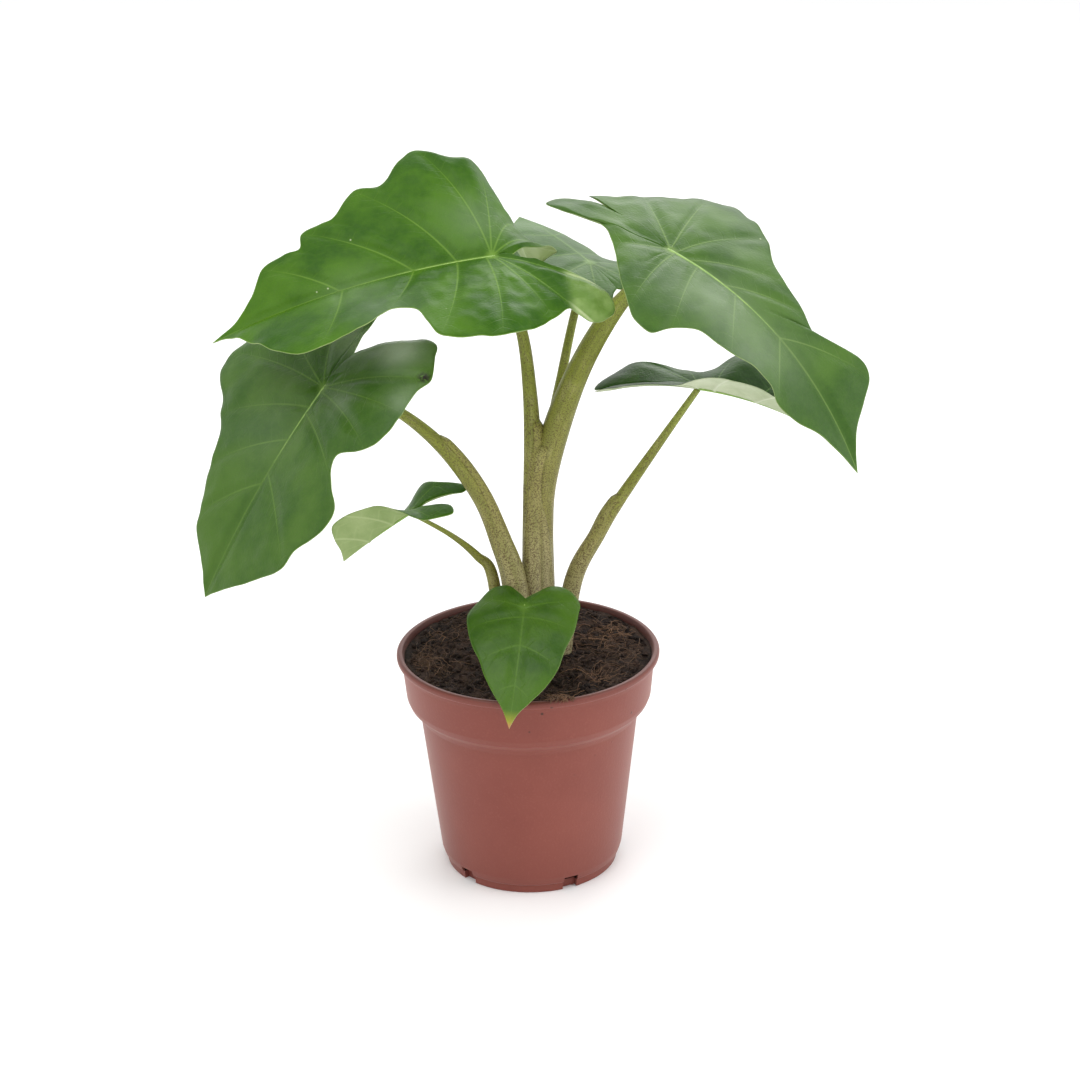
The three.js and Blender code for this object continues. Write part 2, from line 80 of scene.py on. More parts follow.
LEAVES = {
    "upper_left": dict(
        navel=(-12, -5, 291), heading=188, pitch=-5, roll=-20, droop=-20, sway=-4, twist=4,
        lobe_droop=10, length=126, lobe=48, half_width=64,
        fold=[(12, 6), (24, -20)], curl=[(-14, -22), (-14, -75)],
        turn=(-12, 30), waves=[(44, 1, 4, 12)], quilt=1.0, dent=1.5, pale=27, tint="bright",
        painted_sheen=[(3, -20, 16, 0.16), (48, 34, 18, 0.2), (60, 8, 18, 0.12)],
        left=[(89, 93, 6), (75, 84, 34), (67, 78, 53), (60, 71, 66), (52, 63, 67, 1), (44, 54, 62),
              (36, 45, 55), (27, 38, 48, 1), (21, 30, 52), (16, 27, 73), (12, 24, 90, 1),
              (7, 13, 95), (2, 4, 98, 1), (0, -15, 91), (0, -42, 73, 1), (0, -58, 65),
              (0, -77, 77, 1), (0, -100, 66), (0, -85, 39, 1), (0, -19, 0)],
        right=[(86, 90, 8), (68, 83, 19), (53, 76, 39, 1), (44, 68, 45), (37, 62, 44),
               (27, 60, 56, 1), (22, 53, 59), (17, 48, 61), (12, 40, 78, 1), (7, 31, 77),
               (3, 23, 95), (0, 17, 102, 1), (0, 7, 89), (0, -6, 84, 1), (0, -27, 84),
               (0, -46, 75, 1), (0, -60, 59), (0, -67, 41, 1), (0, -48, 19), (0, -19, 0)]),
    "lower_left": dict(
        navel=(-85, -25, 240), heading=212, pitch=-46, roll=-8, droop=-16, sway=-6, twist=-6,
        lobe_droop=30, length=104, lobe=44, half_width=62,
        fold=[(8, 5), (8, 5)], curl=[(-12, -25), (-10, -18)],
        turn=(0, 52), quilt=0.95, tint="dark", scar=(-29, 41),
        painted_sheen=[(-33, 19, 13, 0.75), (-14, 44, 10, 0.25), (2, 16, 10, 0.15), (30, -14, 20, 0.1),
               (-24, -3, 12, 0.42)],
        left=[(88, 94, 13), (75, 87, 31), (60, 79, 48), (42, 71, 65, 1), (37, 61, 69),
              (31, 50, 81), (23, 40, 82), (13, 33, 70, 1), (9, 27, 58), (5, 20, 55),
              (2, 13, 74, 1), (0, 3, 81), (0, -20, 77, 1), (0, -48, 71), (0, -70, 71, 1),
              (0, -93, 55), (0, -105, 42), (0, -80, 19), (0, -45, 0)],
        right=[(90, 92, 10), (77, 87, 19), (63, 79, 33), (47, 71, 39, 1), (37, 61, 46),
               (26, 51, 53, 1), (18, 41, 60), (10, 32, 72, 1), (7, 25, 82), (3, 16, 99),
               (0, 7, 103, 1), (0, -14, 98), (0, -41, 87, 1), (0, -68, 73), (0, -91, 55, 1),
               (0, -105, 35), (0, -91, 16), (0, -64, 8), (0, -45, 0)]),
    "upper_right": dict(
        navel=(64, -15, 295), heading=-26, pitch=-22, roll=8, droop=-34, sway=-30,
        lobe_droop=5, length=128, lobe=52, half_width=60,
        fold=[(10, 4), (6, 4)], curl=[(-22, -22), (-24, -22)],
        turn=(0, 63), quilt=0.8, tint="grey",
        painted_sheen=[(33, -12, 20, 0.3), (64, -14, 22, 0.28), (14, -24, 16, 0.14), (26, 22, 14, 0.1)],
        left=[(91, 93, 5), (81, 86, 13), (69, 79, 28), (48, 72, 43, 1), (42, 66, 45), (36, 58, 35),
              (30, 52, 26), (22, 45, 32, 1), (16, 39, 38), (7, 33, 42, 1), (5, 25, 52),
              (2, 18, 72, 1), (1, 9, 93), (0, 0, 112), (0, -19, 107, 1), (0, -38, 77),
              (0, -56, 53, 1), (0, -73, 32), (0, -88, 18), (0, -75, 24), (0, -46, 26), (0, -6, 0)],
        right=[(89, 93, 7), (77, 84, 18), (62, 77, 30), (48, 69, 37, 1), (41, 61, 34),
               (33, 53, 37), (27, 45, 46, 1), (20, 38, 50), (16, 30, 56), (11, 24, 70, 1),
               (8, 20, 85), (5, 12, 86), (2, 5, 78, 1), (0, -6, 65), (0, -23, 45), (0, -40, 25, 1),
               (0, -63, 10), (0, -94, 16), (0, -110, 13), (0, -96, -6), (0, -54, -15),
               (0, -6, 0)]),
    "back": dict(
        navel=(31, 48, 272.5), heading=122, pitch=14, droop=-12,
        lobe_droop=10, length=60, lobe=30, half_width=30,
        fold=[(0, 5), (-18, 5)], curl=[(-10, -20), (-20, -20)],
        turn=(0, 30), quilt=0.4, tint="hazy",
        painted_sheen=[(-2, 0, 14, 0.15)],
        left=[(77, 87, 27), (50, 70, 57, 1), (33, 50, 80), (15, 30, 93, 1), (3, 8, 97),
              (0, -27, 90, 1), (0, -67, 73), (0, -103, 50, 1), (0, -103, 27), (0, -87, 12),
              (0, -77, 0)],
        right=[(77, 87, 20), (50, 70, 43, 1), (33, 50, 63), (15, 30, 77, 1), (3, 8, 83),
               (0, -27, 80, 1), (0, -67, 67), (0, -103, 47, 1), (0, -103, 23), (0, -87, 10),
               (0, -77, 0)]),
    "small_right": dict(
        navel=(77, -5, 230), heading=-8, pitch=-8, droop=-20,
        lobe_droop=26, length=49, lobe=44, half_width=26,
        fold=[(36, 20), (44, 28)], curl=[(-20, -30), (-14, -30)],
        turn=(0, 24), waves=[(2, 1, -9, 9), (-24, 1, 2, 10)], quilt=0.6, tint="deep", under="silver",
        left=[(76, 86, 31), (53, 69, 62, 1), (33, 51, 92), (14, 29, 112, 1), (4, 10, 92),
              (0, -14, 58, 1), (0, -41, 65), (0, -70, 88, 1), (0, -91, 58), (0, -105, 15),
              (0, -55, 8), (0, -18, 0)],
        right=[(76, 84, 23), (53, 65, 46, 1), (33, 47, 62), (14, 24, 69, 1), (4, 4, 69),
               (0, -20, 65, 1), (0, -45, 58), (0, -70, 54, 1), (0, -91, 35), (0, -100, 15),
               (0, -50, 8), (0, -18, 0)]),
    "small_left": dict(
        navel=(-50.7, -14, 177.6), heading=170, pitch=-36, droop=-5,
        lobe_droop=40, length=40, lobe=26, half_width=24,
        fold=[(74, -5), (0, 28)], curl=[(-20, -20), (-10, -20)],
        turn=(0, 20), quilt=0.3, tint="bright",
        left=[(80, 92, 21), (60, 85, 50, 1), (40, 74, 75), (25, 55, 75, 1), (12, 32, 62),
              (2, 10, 46, 1), (0, -19, 54), (0, -54, 62, 1), (0, -88, 50), (0, -81, 25),
              (0, -46, 12), (0, -23, 0)],
        right=[(80, 92, 17), (60, 80, 38, 1), (40, 62, 54), (25, 45, 67, 1), (12, 28, 71),
               (2, 10, 71, 1), (0, -19, 71), (0, -54, 50, 1), (0, -96, 38), (0, -92, 17),
               (0, -46, 12), (0, -23, 0)]),
    "front": dict(
        navel=(-1, -35, 140), heading=-97, pitch=-34, droop=-15, sway=-6, twist=-2,
        lobe_droop=15, length=58, lobe=14, half_width=25,
        fold=[(5, 2), (6, 0)], curl=[(-14, -23), (-13, -27)],
        turn=(0, 29), quilt=0.5, tint="young",
        left=[(83, 88, 12), (66, 78, 32, 1), (48, 64, 56), (33, 50, 72, 1), (21, 34, 80),
              (9, 19, 92, 1), (2, 3, 96), (0, -43, 96, 1), (0, -86, 72), (0, -93, 44),
              (0, -64, 20), (0, -36, 0)],
        right=[(83, 86, 16), (66, 74, 36, 1), (48, 60, 56), (33, 48, 68, 1), (21, 36, 84),
               (9, 21, 96, 1), (2, 5, 100), (0, -43, 84, 1), (0, -86, 64), (0, -93, 36),
               (0, -64, 16), (0, -36, 0)]),
}

# Centre line and radius of each stalk, (x, y, z, radius), from the mix up to its navel.
STALKS = {
    "upper_right": [(5.5, 3, 97, 7.3), (5.8, 1, 130, 7), (6, -2, 164, 6.5), (8, -5, 187, 6.2),
                    (14.8, -7, 214, 6), (24.8, -9.5, 241, 5.1), (36.6, -11.5, 263, 4.4),
                    (49, -13, 279, 3), (62, -14.8, 293.4, 2)],
    "upper_left": [(1, -8, 97, 4.4), (2, -7.5, 140, 4.2), (3, -7, 175, 4.1), (3.8, -6.5, 207, 3.8),
                   (3, -6, 232, 3.1), (0.4, -5.4, 256, 2.6), (-6, -5.2, 277, 2.2),
                   (-12, -5, 290.6, 1.9)],
    "lower_left": [(-4, -14, 97, 5.6), (-5.4, -14.5, 141, 5.4), (-11.2, -15, 164, 4.7),
                   (-19.2, -16, 185, 3.9), (-34.4, -18.5, 208.6, 3.2), (-52.6, -21, 226.4, 2.4),
                   (-70, -23, 235, 1.9), (-84.4, -24.9, 239.6, 1.6)],
    "back": [(8, 15, 97, 3), (9.6, 21, 148, 2.8), (12, 29, 194, 2.7), (18, 37, 225, 2.2),
             (24.2, 43, 251.5, 1.9), (30.6, 47.8, 272, 1.5)],
    "small_right": [(15, 1, 97, 4.2), (21.4, 0, 138, 3.9), (32.6, -1, 161, 3.4),
                    (42, -1.8, 177, 2.8), (61.6, -3.6, 207, 1.9), (76.6, -5, 229.4, 1.4)],
    "small_left": [(-11, -6, 97, 3), (-15, -8, 143, 2.7), (-22, -10, 155, 1.9),
                   (-33.4, -12, 166, 1.2), (-50, -14, 177, 0.9)],
    "front": [(2, -18.5, 97, 2), (2.4, -24, 122, 1.5), (0.6, -31, 134, 1.1), (-0.8, -34.6, 139.6, 0.9)],
}

# ---------------------------------------------------------------- mesh helpers
def catmull(points, where):
    """A smooth curve through the points; where runs from 0 to their number less one."""
    points = np.asarray(points, float)
    last = len(points) - 1
    where = np.clip(np.asarray(where, float), 0, last)
    low = np.minimum(where.astype(int), last - 1)
    t = (where - low)[:, None]
    a, b = points[np.maximum(low - 1, 0)], points[low]
    c, d = points[low + 1], points[np.minimum(low + 2, last)]
    start, end = (c - a) / 2, (d - b) / 2
    return ((2 * b - 2 * c + start + end) * t ** 3
            + (3 * c - 3 * b - 2 * start - end) * t ** 2 + start * t + b)


def smooth_step(x):
    """0 below 0, 1 above 1, and a smooth rise between."""
    x = np.clip(x, 0, 1)
    return x * x * (3 - 2 * x)


def unit(vectors, least=0.0):
    """The vectors at length one; least keeps off a division by nothing."""
    return vectors / (np.linalg.norm(vectors, axis=-1, keepdims=True) + least)


def circle(count):
    """Evenly spaced angles, once round."""
    return np.linspace(0, 2 * np.pi, count, endpoint=False)


def quads(*corners):
    """Four-sided faces from four grids of vertex numbers."""
    return np.stack(corners, -1).reshape(-1, 4)


def tube_faces(rings):
    """The faces between successive rings, each a row of vertex numbers, and the two ends."""
    ahead = np.roll(rings, -1, axis=1)
    sides = quads(rings[:-1], ahead[:-1], ahead[1:], rings[1:])
    return sides.tolist() + [rings[0][::-1].tolist(), rings[-1].tolist()]


def midrib(leaf):
    """Tables of u and of the midrib's points, side vectors and normals there."""
    behind, ahead, steps = 1.5 * leaf["lobe"], 1.2 * leaf["length"], 120
    u = np.linspace(-behind, ahead, steps + 1)
    tip_share = np.maximum(0, u / leaf["length"])
    lobe_share = np.maximum(0, -u / leaf["lobe"])
    heading = np.radians(leaf["heading"] + leaf["sway"] * tip_share)
    pitch = np.radians(leaf["pitch"] + leaf["droop"] * tip_share + leaf["lobe_droop"] * lobe_share)
    turn = np.radians(leaf["roll"] + leaf["twist"] * tip_share)[:, None]
    along = np.stack([np.cos(pitch) * np.cos(heading), np.cos(pitch) * np.sin(heading),
                      np.sin(pitch)], 1)
    level = np.stack([-np.sin(heading), np.cos(heading), 0 * heading], 1)
    over = np.cross(along, level)
    side = level * np.cos(turn) + over * np.sin(turn)
    normal = over * np.cos(turn) - level * np.sin(turn)
    mean = (along[1:] + along[:-1]) / 2 * np.diff(u)[:, None]
    point = np.vstack([np.zeros(3), np.cumsum(mean, 0)])
    point += np.array(leaf["navel"]) - [np.interp(0, u, point[:, k]) for k in range(3)]
    return u, point, side, normal


def rib_frame(ribs, u):
    """The midrib's point, side vector and normal at each u."""
    at, *tables = ribs
    return [np.stack([np.interp(u, at, table[:, k]) for k in range(3)], 1) for table in tables]


def sheet(leaf, ribs, u, v):
    """Points of the folded and curled blade, without thickness or relief."""
    point, side, normal = rib_frame(ribs, u)
    centre, width = leaf["turn"]
    lobe = smooth_step(0.5 - (u - centre) / width)
    left = v >= 0

    def mixed(kind):
        """The angle at each point, from the values ahead and on the lobe."""
        return np.radians(np.where(left, *(ahead * (1 - lobe) + back * lobe for ahead, back in leaf[kind])))

    start = mixed("fold")
    rate = mixed("curl") / leaf["half_width"]
    rate = np.where(np.abs(rate) < 1e-8, 1e-8, rate)
    out = np.abs(v)
    across = (np.sin(start + rate * out) - np.sin(start)) / rate
    rise = (np.cos(start) - np.cos(start + rate * out)) / rate
    for centre, sign, lift, reach in leaf["waves"]:
        near = np.exp(-(((u - centre) / reach) ** 2))
        rise = rise + np.where(left == (sign > 0), lift * near * (out / leaf["half_width"]) ** 2, 0)
    return point + side * (np.where(left, 1, -1) * across)[:, None] + normal * rise[:, None]


def make_object(name, vertices, faces, materials, indices=None, smooth=True, floats=None):
    """A mesh object from millimetres, with a material index per face and floats per vertex."""
    mesh = bpy.data.meshes.new(name)
    mesh.from_pydata((np.asarray(vertices) * MM).tolist(), [], [list(map(int, f)) for f in faces])
    for material in materials:
        mesh.materials.append(material)
    if indices is not None:
        mesh.polygons.foreach_set("material_index", np.asarray(indices, np.int32))
    mesh.polygons.foreach_set("use_smooth", np.full(len(mesh.polygons), smooth))
    for key, values in (floats or {}).items():
        attribute = mesh.attributes.new(key, "FLOAT", "POINT")
        attribute.data.foreach_set("value", np.asarray(values, np.float32))
    mesh.update()
    made = bpy.data.objects.new(name, mesh)
    bpy.context.scene.collection.objects.link(made)
    return made


def wobble(points, scale, seed):
    """Smooth noise from -1 to 1 at each point, in features of about the given size."""
    offset = Vector((seed * 17.3, seed * 5.9, seed * 11.1))
    return np.array([noise.noise(Vector(p) / scale + offset) for p in points])


# ---------------------------------------------------------------- materials
class Nodes:
    """A short way to write a node tree."""

    def __init__(self, name):
        self.material = bpy.data.materials.new(name)
        self.material.use_nodes = True
        self.tree = self.material.node_tree
        self.shader = self.tree.nodes["Principled BSDF"]

    def add(self, kind, inputs=None, **settings):
        node = self.tree.nodes.new(kind)
        for key, value in settings.items():
            setattr(node, key, value)
        for key, value in (inputs or {}).items():
            self.set(node.inputs[key], value)
        return node

    def set(self, socket, value):
        if isinstance(value, bpy.types.NodeSocket):
            self.tree.links.new(value, socket)
        elif isinstance(value, bpy.types.Node):
            self.tree.links.new(value.outputs[0], socket)
        else:
            socket.default_value = value

    def surface(self, color, roughness, specular=0.5):
        """Sets the colour, the roughness and the specular level, each a value or a socket."""
        named = {"Base Color": color, "Roughness": roughness, "Specular IOR Level": specular}
        for name, value in named.items():
            self.set(self.shader.inputs[name], value)

    def attribute(self, name):
        return self.add("ShaderNodeAttribute", attribute_name=name).outputs["Fac"]

    def from_vein(self):
        """Distance in mm from the nearest main vein."""
        return self.times(self.math("PINGPONG", self.attribute("phase"), 0.5), self.attribute("gap"))

    def math(self, operation, a, b=0.0, c=0.0, clamp=False):
        return self.add("ShaderNodeMath", {0: a, 1: b, 2: c}, operation=operation,
                        use_clamp=clamp).outputs[0]

    def times(self, a, b):
        return self.math("MULTIPLY", a, b)

    def ramp(self, value, low, high, a=0.0, b=1.0):
        return self.add("ShaderNodeMapRange", {0: value, 1: low, 2: high, 3: a, 4: b},
                        interpolation_type="SMOOTHSTEP").outputs[0]

    def mix(self, share, a, b):
        """Mixes two colours, each a socket, three sRGB numbers up to 255 or four linear ones."""
        node = self.add("ShaderNodeMix", data_type="RGBA")
        self.set(node.inputs[0], share)
        for number, color in ((6, a), (7, b)):
            short = isinstance(color, tuple) and len(color) == 3
            self.set(node.inputs[number], srgb(*color) if short else color)
        return node.outputs[2]

    def spots(self, vector, scale):
        """Distance from the nearest of scattered points."""
        return self.add("ShaderNodeTexVoronoi", {"Vector": vector, "Scale": scale}, feature="F1").outputs[0]

    def noise(self, vector, scale, detail=3.0, rough=0.55):
        return self.add("ShaderNodeTexNoise", {"Vector": vector, "Scale": scale, "Detail": detail,
                                               "Roughness": rough}).outputs[0]

    def bump(self, height, distance, strength=1.0):
        node = self.add("ShaderNodeBump", {"Height": height, "Distance": distance,
                                           "Strength": strength})
        self.set(self.shader.inputs["Normal"], node.outputs[0])

    def place(self):
        return self.add("ShaderNodeTexCoord").outputs["Object"]


def srgb(r, g, b):
    linear = [c / 255 / 12.92 if c <= 10 else ((c / 255 + 0.055) / 1.055) ** 2.4 for c in (r, g, b)]
    return (*linear, 1.0)


TINTS = {  # shaded green, lit green, vein and margin
    "bright": ((42, 82, 4), (68, 108, 16), (106, 142, 50)),
    "dark": ((50, 84, 22), (70, 102, 34), (92, 124, 50)),
    "grey": ((50, 84, 22), (70, 104, 32), (108, 136, 68)),
    "hazy": ((48, 84, 20), (68, 106, 34), (108, 138, 68)),
    "deep": ((28, 60, 10), (50, 84, 24), (96, 128, 64)),
    "young": ((44, 78, 12), (66, 100, 20), (80, 114, 32)),
}
UNDERS = {  # darker and lighter underside, and its veins
    "plain": ((126, 150, 84), (156, 174, 114), (172, 188, 132)),
    "silver": ((168, 182, 142), (196, 204, 174), (204, 212, 184)),
}


def leaf_top(tint):
    """The upper skin of a blade."""
    dark, light, vein = TINTS[tint]
    n = Nodes("leaf_top_" + tint)
    place = n.place()
    share, away = n.attribute("share"), n.from_vein()
    mottle = n.noise(place, 38, 4)
    fine = n.noise(place, 420, 3)
    cells = n.spots(place, 900.0)
    green = n.mix(n.ramp(mottle, 0.36, 0.66), dark, light)
    green = n.mix(n.times(n.ramp(fine, 0.35, 0.7), 0.2), green, light)
    # Tissue is a little lighter beside each main vein.
    halo = n.times(n.ramp(away, 0.3, 4.5, 1.0, 0.0), 0.3)
    green = n.mix(halo, green, light)
    # Side veins leave the main veins at a slant, and a finer net runs between them.
    slant = n.math("MULTIPLY_ADD", away, -0.7, n.attribute("ray"))
    slant = n.math("MULTIPLY_ADD", n.noise(place, 60, 2), 5.0, slant)
    branch = n.math("PINGPONG", n.math("DIVIDE", slant, 6.0), 0.5)
    branch_line = n.times(n.ramp(branch, 0.0, 0.07, 1.0, 0.0), 0.11)
    branch_line = n.times(branch_line, n.ramp(away, 0.2, 9.0, 1.0, 0.15))
    green = n.mix(branch_line, green, vein)
    # The main veins, hair-thin at the margin.
    width = n.ramp(share, 0.0, 1.0, 0.62, 0.22)
    line = n.math("SUBTRACT", 1.0, n.math("DIVIDE", away, width, clamp=True), clamp=True)
    line = n.times(n.ramp(line, 0.0, 0.7), n.ramp(share, 0.45, 1.0, 0.55, 0.1))
    green = n.mix(line, green, vein)
    # The midrib, and the patch at the navel that it and the first veins start from.
    spine = n.attribute("spine")
    green = n.mix(n.ramp(spine, 0.45, 1.25, 0.7, 0.0), green, vein)
    green = n.mix(n.ramp(spine, 1.2, 5.0, 0.3, 0.0), green, light)
    green = n.mix(n.ramp(n.attribute("hub"), 1.0, 4.0, 0.8, 0.0), green, vein)
    rim = n.ramp(n.attribute("edge"), 0.15, 0.5, 0.75, 0.0)
    green = n.mix(rim, green, vein)
    # Painted sheen and painted light: whitish patches set per leaf, broken up by noise, some of them on
    # parts that lie in shade.
    sheen_share = n.times(n.attribute("painted_sheen"), n.ramp(n.noise(place, 24, 5), 0.3, 0.7, 0.55, 1.0))
    green = n.mix(sheen_share, green, (176, 188, 168))
    if tint == "bright":
        # Painted sheen: the drooping end of the left lobe, past pale, is painted paler, its veins palest.
        flap_sheen = n.mix(n.ramp(n.noise(place, 90, 3), 0.35, 0.65), (98, 130, 56), (130, 156, 88))
        flap_sheen = n.mix(n.ramp(away, 0.2, 1.2, 0.7, 0.0), flap_sheen, (186, 200, 150))
        green = n.mix(n.attribute("pale"), green, flap_sheen)
    if tint == "young":
        tip = n.ramp(n.attribute("along"), 49.0, 56.0)
        green = n.mix(n.times(tip, 0.9), green, (150, 148, 46))
        green = n.mix(n.ramp(n.attribute("along"), 54.5, 57.0), green, (176, 128, 78))
    if tint == "dark":
        torn = n.times(n.attribute("scar"), n.ramp(n.noise(place, 520, 3), 0.42, 0.56))
        green = n.mix(torn, green, (30, 26, 18))
    # Scattered pale specks where the skin was scuffed.
    scuff = n.times(n.ramp(n.spots(place, 130.0), 0.05, 0.085, 0.7, 0.0),
                    n.ramp(n.noise(place, 70, 1), 0.66, 0.68))
    green = n.mix(scuff, green, (196, 206, 168))
    n.surface(green, n.ramp(n.noise(place, 30, 3), 0.3, 0.7, 0.33, 0.47),
              0.14 if tint == "bright" else 0.22)
    n.shader.inputs["Subsurface Weight"].default_value = 0.06
    n.shader.inputs["Subsurface Radius"].default_value = (0.3, 0.6, 0.15)
    n.shader.inputs["Subsurface Scale"].default_value = 0.002
    height = n.math("MULTIPLY_ADD", fine, 0.35, n.times(cells, 0.25))
    height = n.math("MULTIPLY_ADD", branch_line, -3.0, height)
    n.bump(height, 0.0005, 0.5)
    return n.material


def leaf_under(kind):
    """The lower skin of a blade."""
    dark, light, vein = UNDERS[kind]
    n = Nodes("leaf_under_" + kind)
    place = n.place()
    away = n.from_vein()
    pale = n.mix(n.ramp(n.noise(place, 50, 4), 0.3, 0.7), dark, light)
    slant = n.math("MULTIPLY_ADD", away, -0.75, n.attribute("ray"))
    branch = n.math("PINGPONG", n.math("DIVIDE", slant, 7.5), 0.5)
    pale = n.mix(n.ramp(branch, 0.0, 0.09, 0.2, 0.0), pale, vein)
    pale = n.mix(n.ramp(away, 0.15, 0.7, 0.7, 0.0), pale, vein)
    n.surface(pale, 0.55)
    n.bump(n.noise(place, 700, 3), 0.0003, 0.5)
    return n.material


def rib_material(name, color):
    n = Nodes(name)
    place = n.place()
    n.surface(n.mix(n.ramp(n.noise(place, 260, 3), 0.3, 0.7), color, (150, 182, 92)), 0.42)
    n.bump(n.noise(place, 1200, 2), 0.0002, 0.4)
    return n.material


def stalk_material():
    n = Nodes("stalk_skin")
    along, around = n.attribute("rise"), n.attribute("around")

    def at(stretch):
        """A place on the skin, with the length of the stalk scaled for lengthwise streaks."""
        return n.add("ShaderNodeCombineXYZ", {0: around, 1: n.times(along, stretch),
                                              2: n.attribute("plant")}).outputs[0]

    share = n.attribute("share")
    base = n.mix(n.ramp(share, 0.0, 0.4), (172, 162, 128), (148, 142, 78))
    base = n.mix(n.ramp(share, 0.35, 0.75), base, (130, 138, 46))
    base = n.mix(n.ramp(share, 0.7, 1.0), base, (148, 160, 72))
    base = n.mix(n.ramp(n.noise(at(0.06), 0.5, 3), 0.35, 0.7, 0.0, 0.5), base, (104, 108, 44))
    base = n.mix(n.ramp(n.noise(at(0.3), 0.3, 4), 0.48, 0.75, 0.0, 0.35), base, (176, 168, 118))
    # Flecks: short crooked brown dashes, thick at the base, and smaller dots in between.
    patch = n.noise(at(0.5), 0.16, 2)
    edge = n.math("SUBTRACT", n.ramp(share, 0.1, 0.85, 0.57, 0.6), n.times(patch, 0.1))
    dash = n.noise(at(0.7), 2.0, 3, 0.65)
    fleck = n.ramp(n.math("SUBTRACT", dash, edge), 0.0, 0.04, 0.0, 0.72)
    dots = n.noise(at(0.8), 2.6, 2, 0.55)
    dot = n.ramp(n.math("SUBTRACT", dots, edge), 0.03, 0.07, 0.0, 0.6)
    base = n.mix(fleck, base, (74, 52, 36))
    base = n.mix(dot, base, (92, 70, 46))
    n.surface(base, n.ramp(dash, 0.2, 0.8, 0.44, 0.58), 0.3)
    n.bump(n.math("MULTIPLY_ADD", n.noise(at(0.06), 1.2, 3), 0.8, n.times(dash, 0.4)),
           0.0004, 0.5)
    return n.material


# The radius at the middle of the collar's wall is MIDDLE_SLOPE * height + MIDDLE_FOOT, in metres.
MIDDLE_SLOPE, MIDDLE_FOOT = 0.0993, 0.04695


def pot_material():
    n = Nodes("pot_plastic")
    place = n.place()
    height = n.add("ShaderNodeSeparateXYZ", {0: place}).outputs[2]
    cloud = n.noise(place, 14, 4)
    base = n.mix(n.ramp(cloud, 0.3, 0.7), (124, 62, 52), (134, 71, 60))
    grain = n.noise(place, 900, 3)
    base = n.mix(n.ramp(grain, 0.5, 0.75, 0.0, 0.12), base, (160, 98, 84))
    # Painted shade: the pot is darker towards its foot.
    base = n.mix(n.ramp(height, 0.0, 0.05, 0.3, 0.0), base, (104, 50, 42))
    spot = n.times(n.ramp(n.spots(place, 210.0), 0.1, 0.17, 1.0, 0.0),
                   n.ramp(n.noise(place, 95, 2), 0.6, 0.63))
    spot = n.times(spot, n.ramp(height, 0.066, 0.1, 0.15, 1.0))
    base = n.mix(spot, base, (74, 44, 34))
    smear = n.times(n.ramp(n.noise(place, 60, 5, 0.7), 0.55, 0.75, 0.0, 0.4),
                    n.ramp(height, 0.094, 0.104))
    base = n.mix(smear, base, (70, 46, 38))
    # Painted shade darkens the inside of the wall, a recess, up to its middle; the lip is darker too.
    across = n.add("ShaderNodeVectorMath", {0: place, 1: (1.0, 1.0, 0.0)}, operation="MULTIPLY").outputs[0]
    reach = n.add("ShaderNodeVectorMath", {0: across}, operation="LENGTH").outputs["Value"]
    middle = n.math("SUBTRACT", reach, n.math("MULTIPLY_ADD", height, MIDDLE_SLOPE, MIDDLE_FOOT))
    inner = n.times(n.ramp(middle, -0.0003, 0.0002, 1.0, 0.0), n.ramp(height, 0.086, 0.09))
    base = n.mix(n.times(inner, n.ramp(cloud, 0.3, 0.7, 0.7, 0.95)), base, (66, 38, 34))
    lip = n.times(n.ramp(height, 0.1022, 0.1032), n.ramp(reach, 0.0592, 0.06, 0.8, 0.35))
    base = n.mix(lip, base, (88, 48, 42))
    n.surface(base, n.ramp(cloud, 0.2, 0.8, 0.4, 0.5), 0.3)
    n.shader.inputs["Sheen Weight"].default_value = 0.22
    n.shader.inputs["Sheen Roughness"].default_value = 0.4
    n.shader.inputs["Sheen Tint"].default_value = srgb(236, 206, 198)
    n.bump(n.math("MULTIPLY_ADD", spot, 2.0, grain), 0.0002, 0.3)
    return n.material


def mix_material():
    n = Nodes("potting_mix")
    place = n.place()
    coarse, fine = n.noise(place, 120, 6, 0.7), n.noise(place, 700, 4, 0.7)
    base = n.mix(n.ramp(coarse, 0.38, 0.68), (32, 24, 22), (68, 51, 43))
    base = n.mix(n.ramp(fine, 0.55, 0.78, 0.0, 0.5), base, (112, 88, 66))
    n.surface(base, 0.92, 0.2)
    n.bump(n.math("MULTIPLY_ADD", coarse, 1.5, fine), 0.0012, 0.9)
    return n.material


def fibre_material():
    n = Nodes("coir_fibre")
    base = n.mix(n.attribute("shade"), (48, 35, 30), (142, 106, 78))
    base = n.mix(n.ramp(n.noise(n.place(), 500, 3), 0.3, 0.7, 0.0, 0.4), base, (96, 68, 46))
    n.surface(base, 0.8)
    n.bump(n.noise(n.place(), 1500, 2), 0.0001, 0.4)
    return n.material


# ---------------------------------------------------------------- blades
FULL_LENGTH = 126  # a blade of this length has a midrib of full thickness


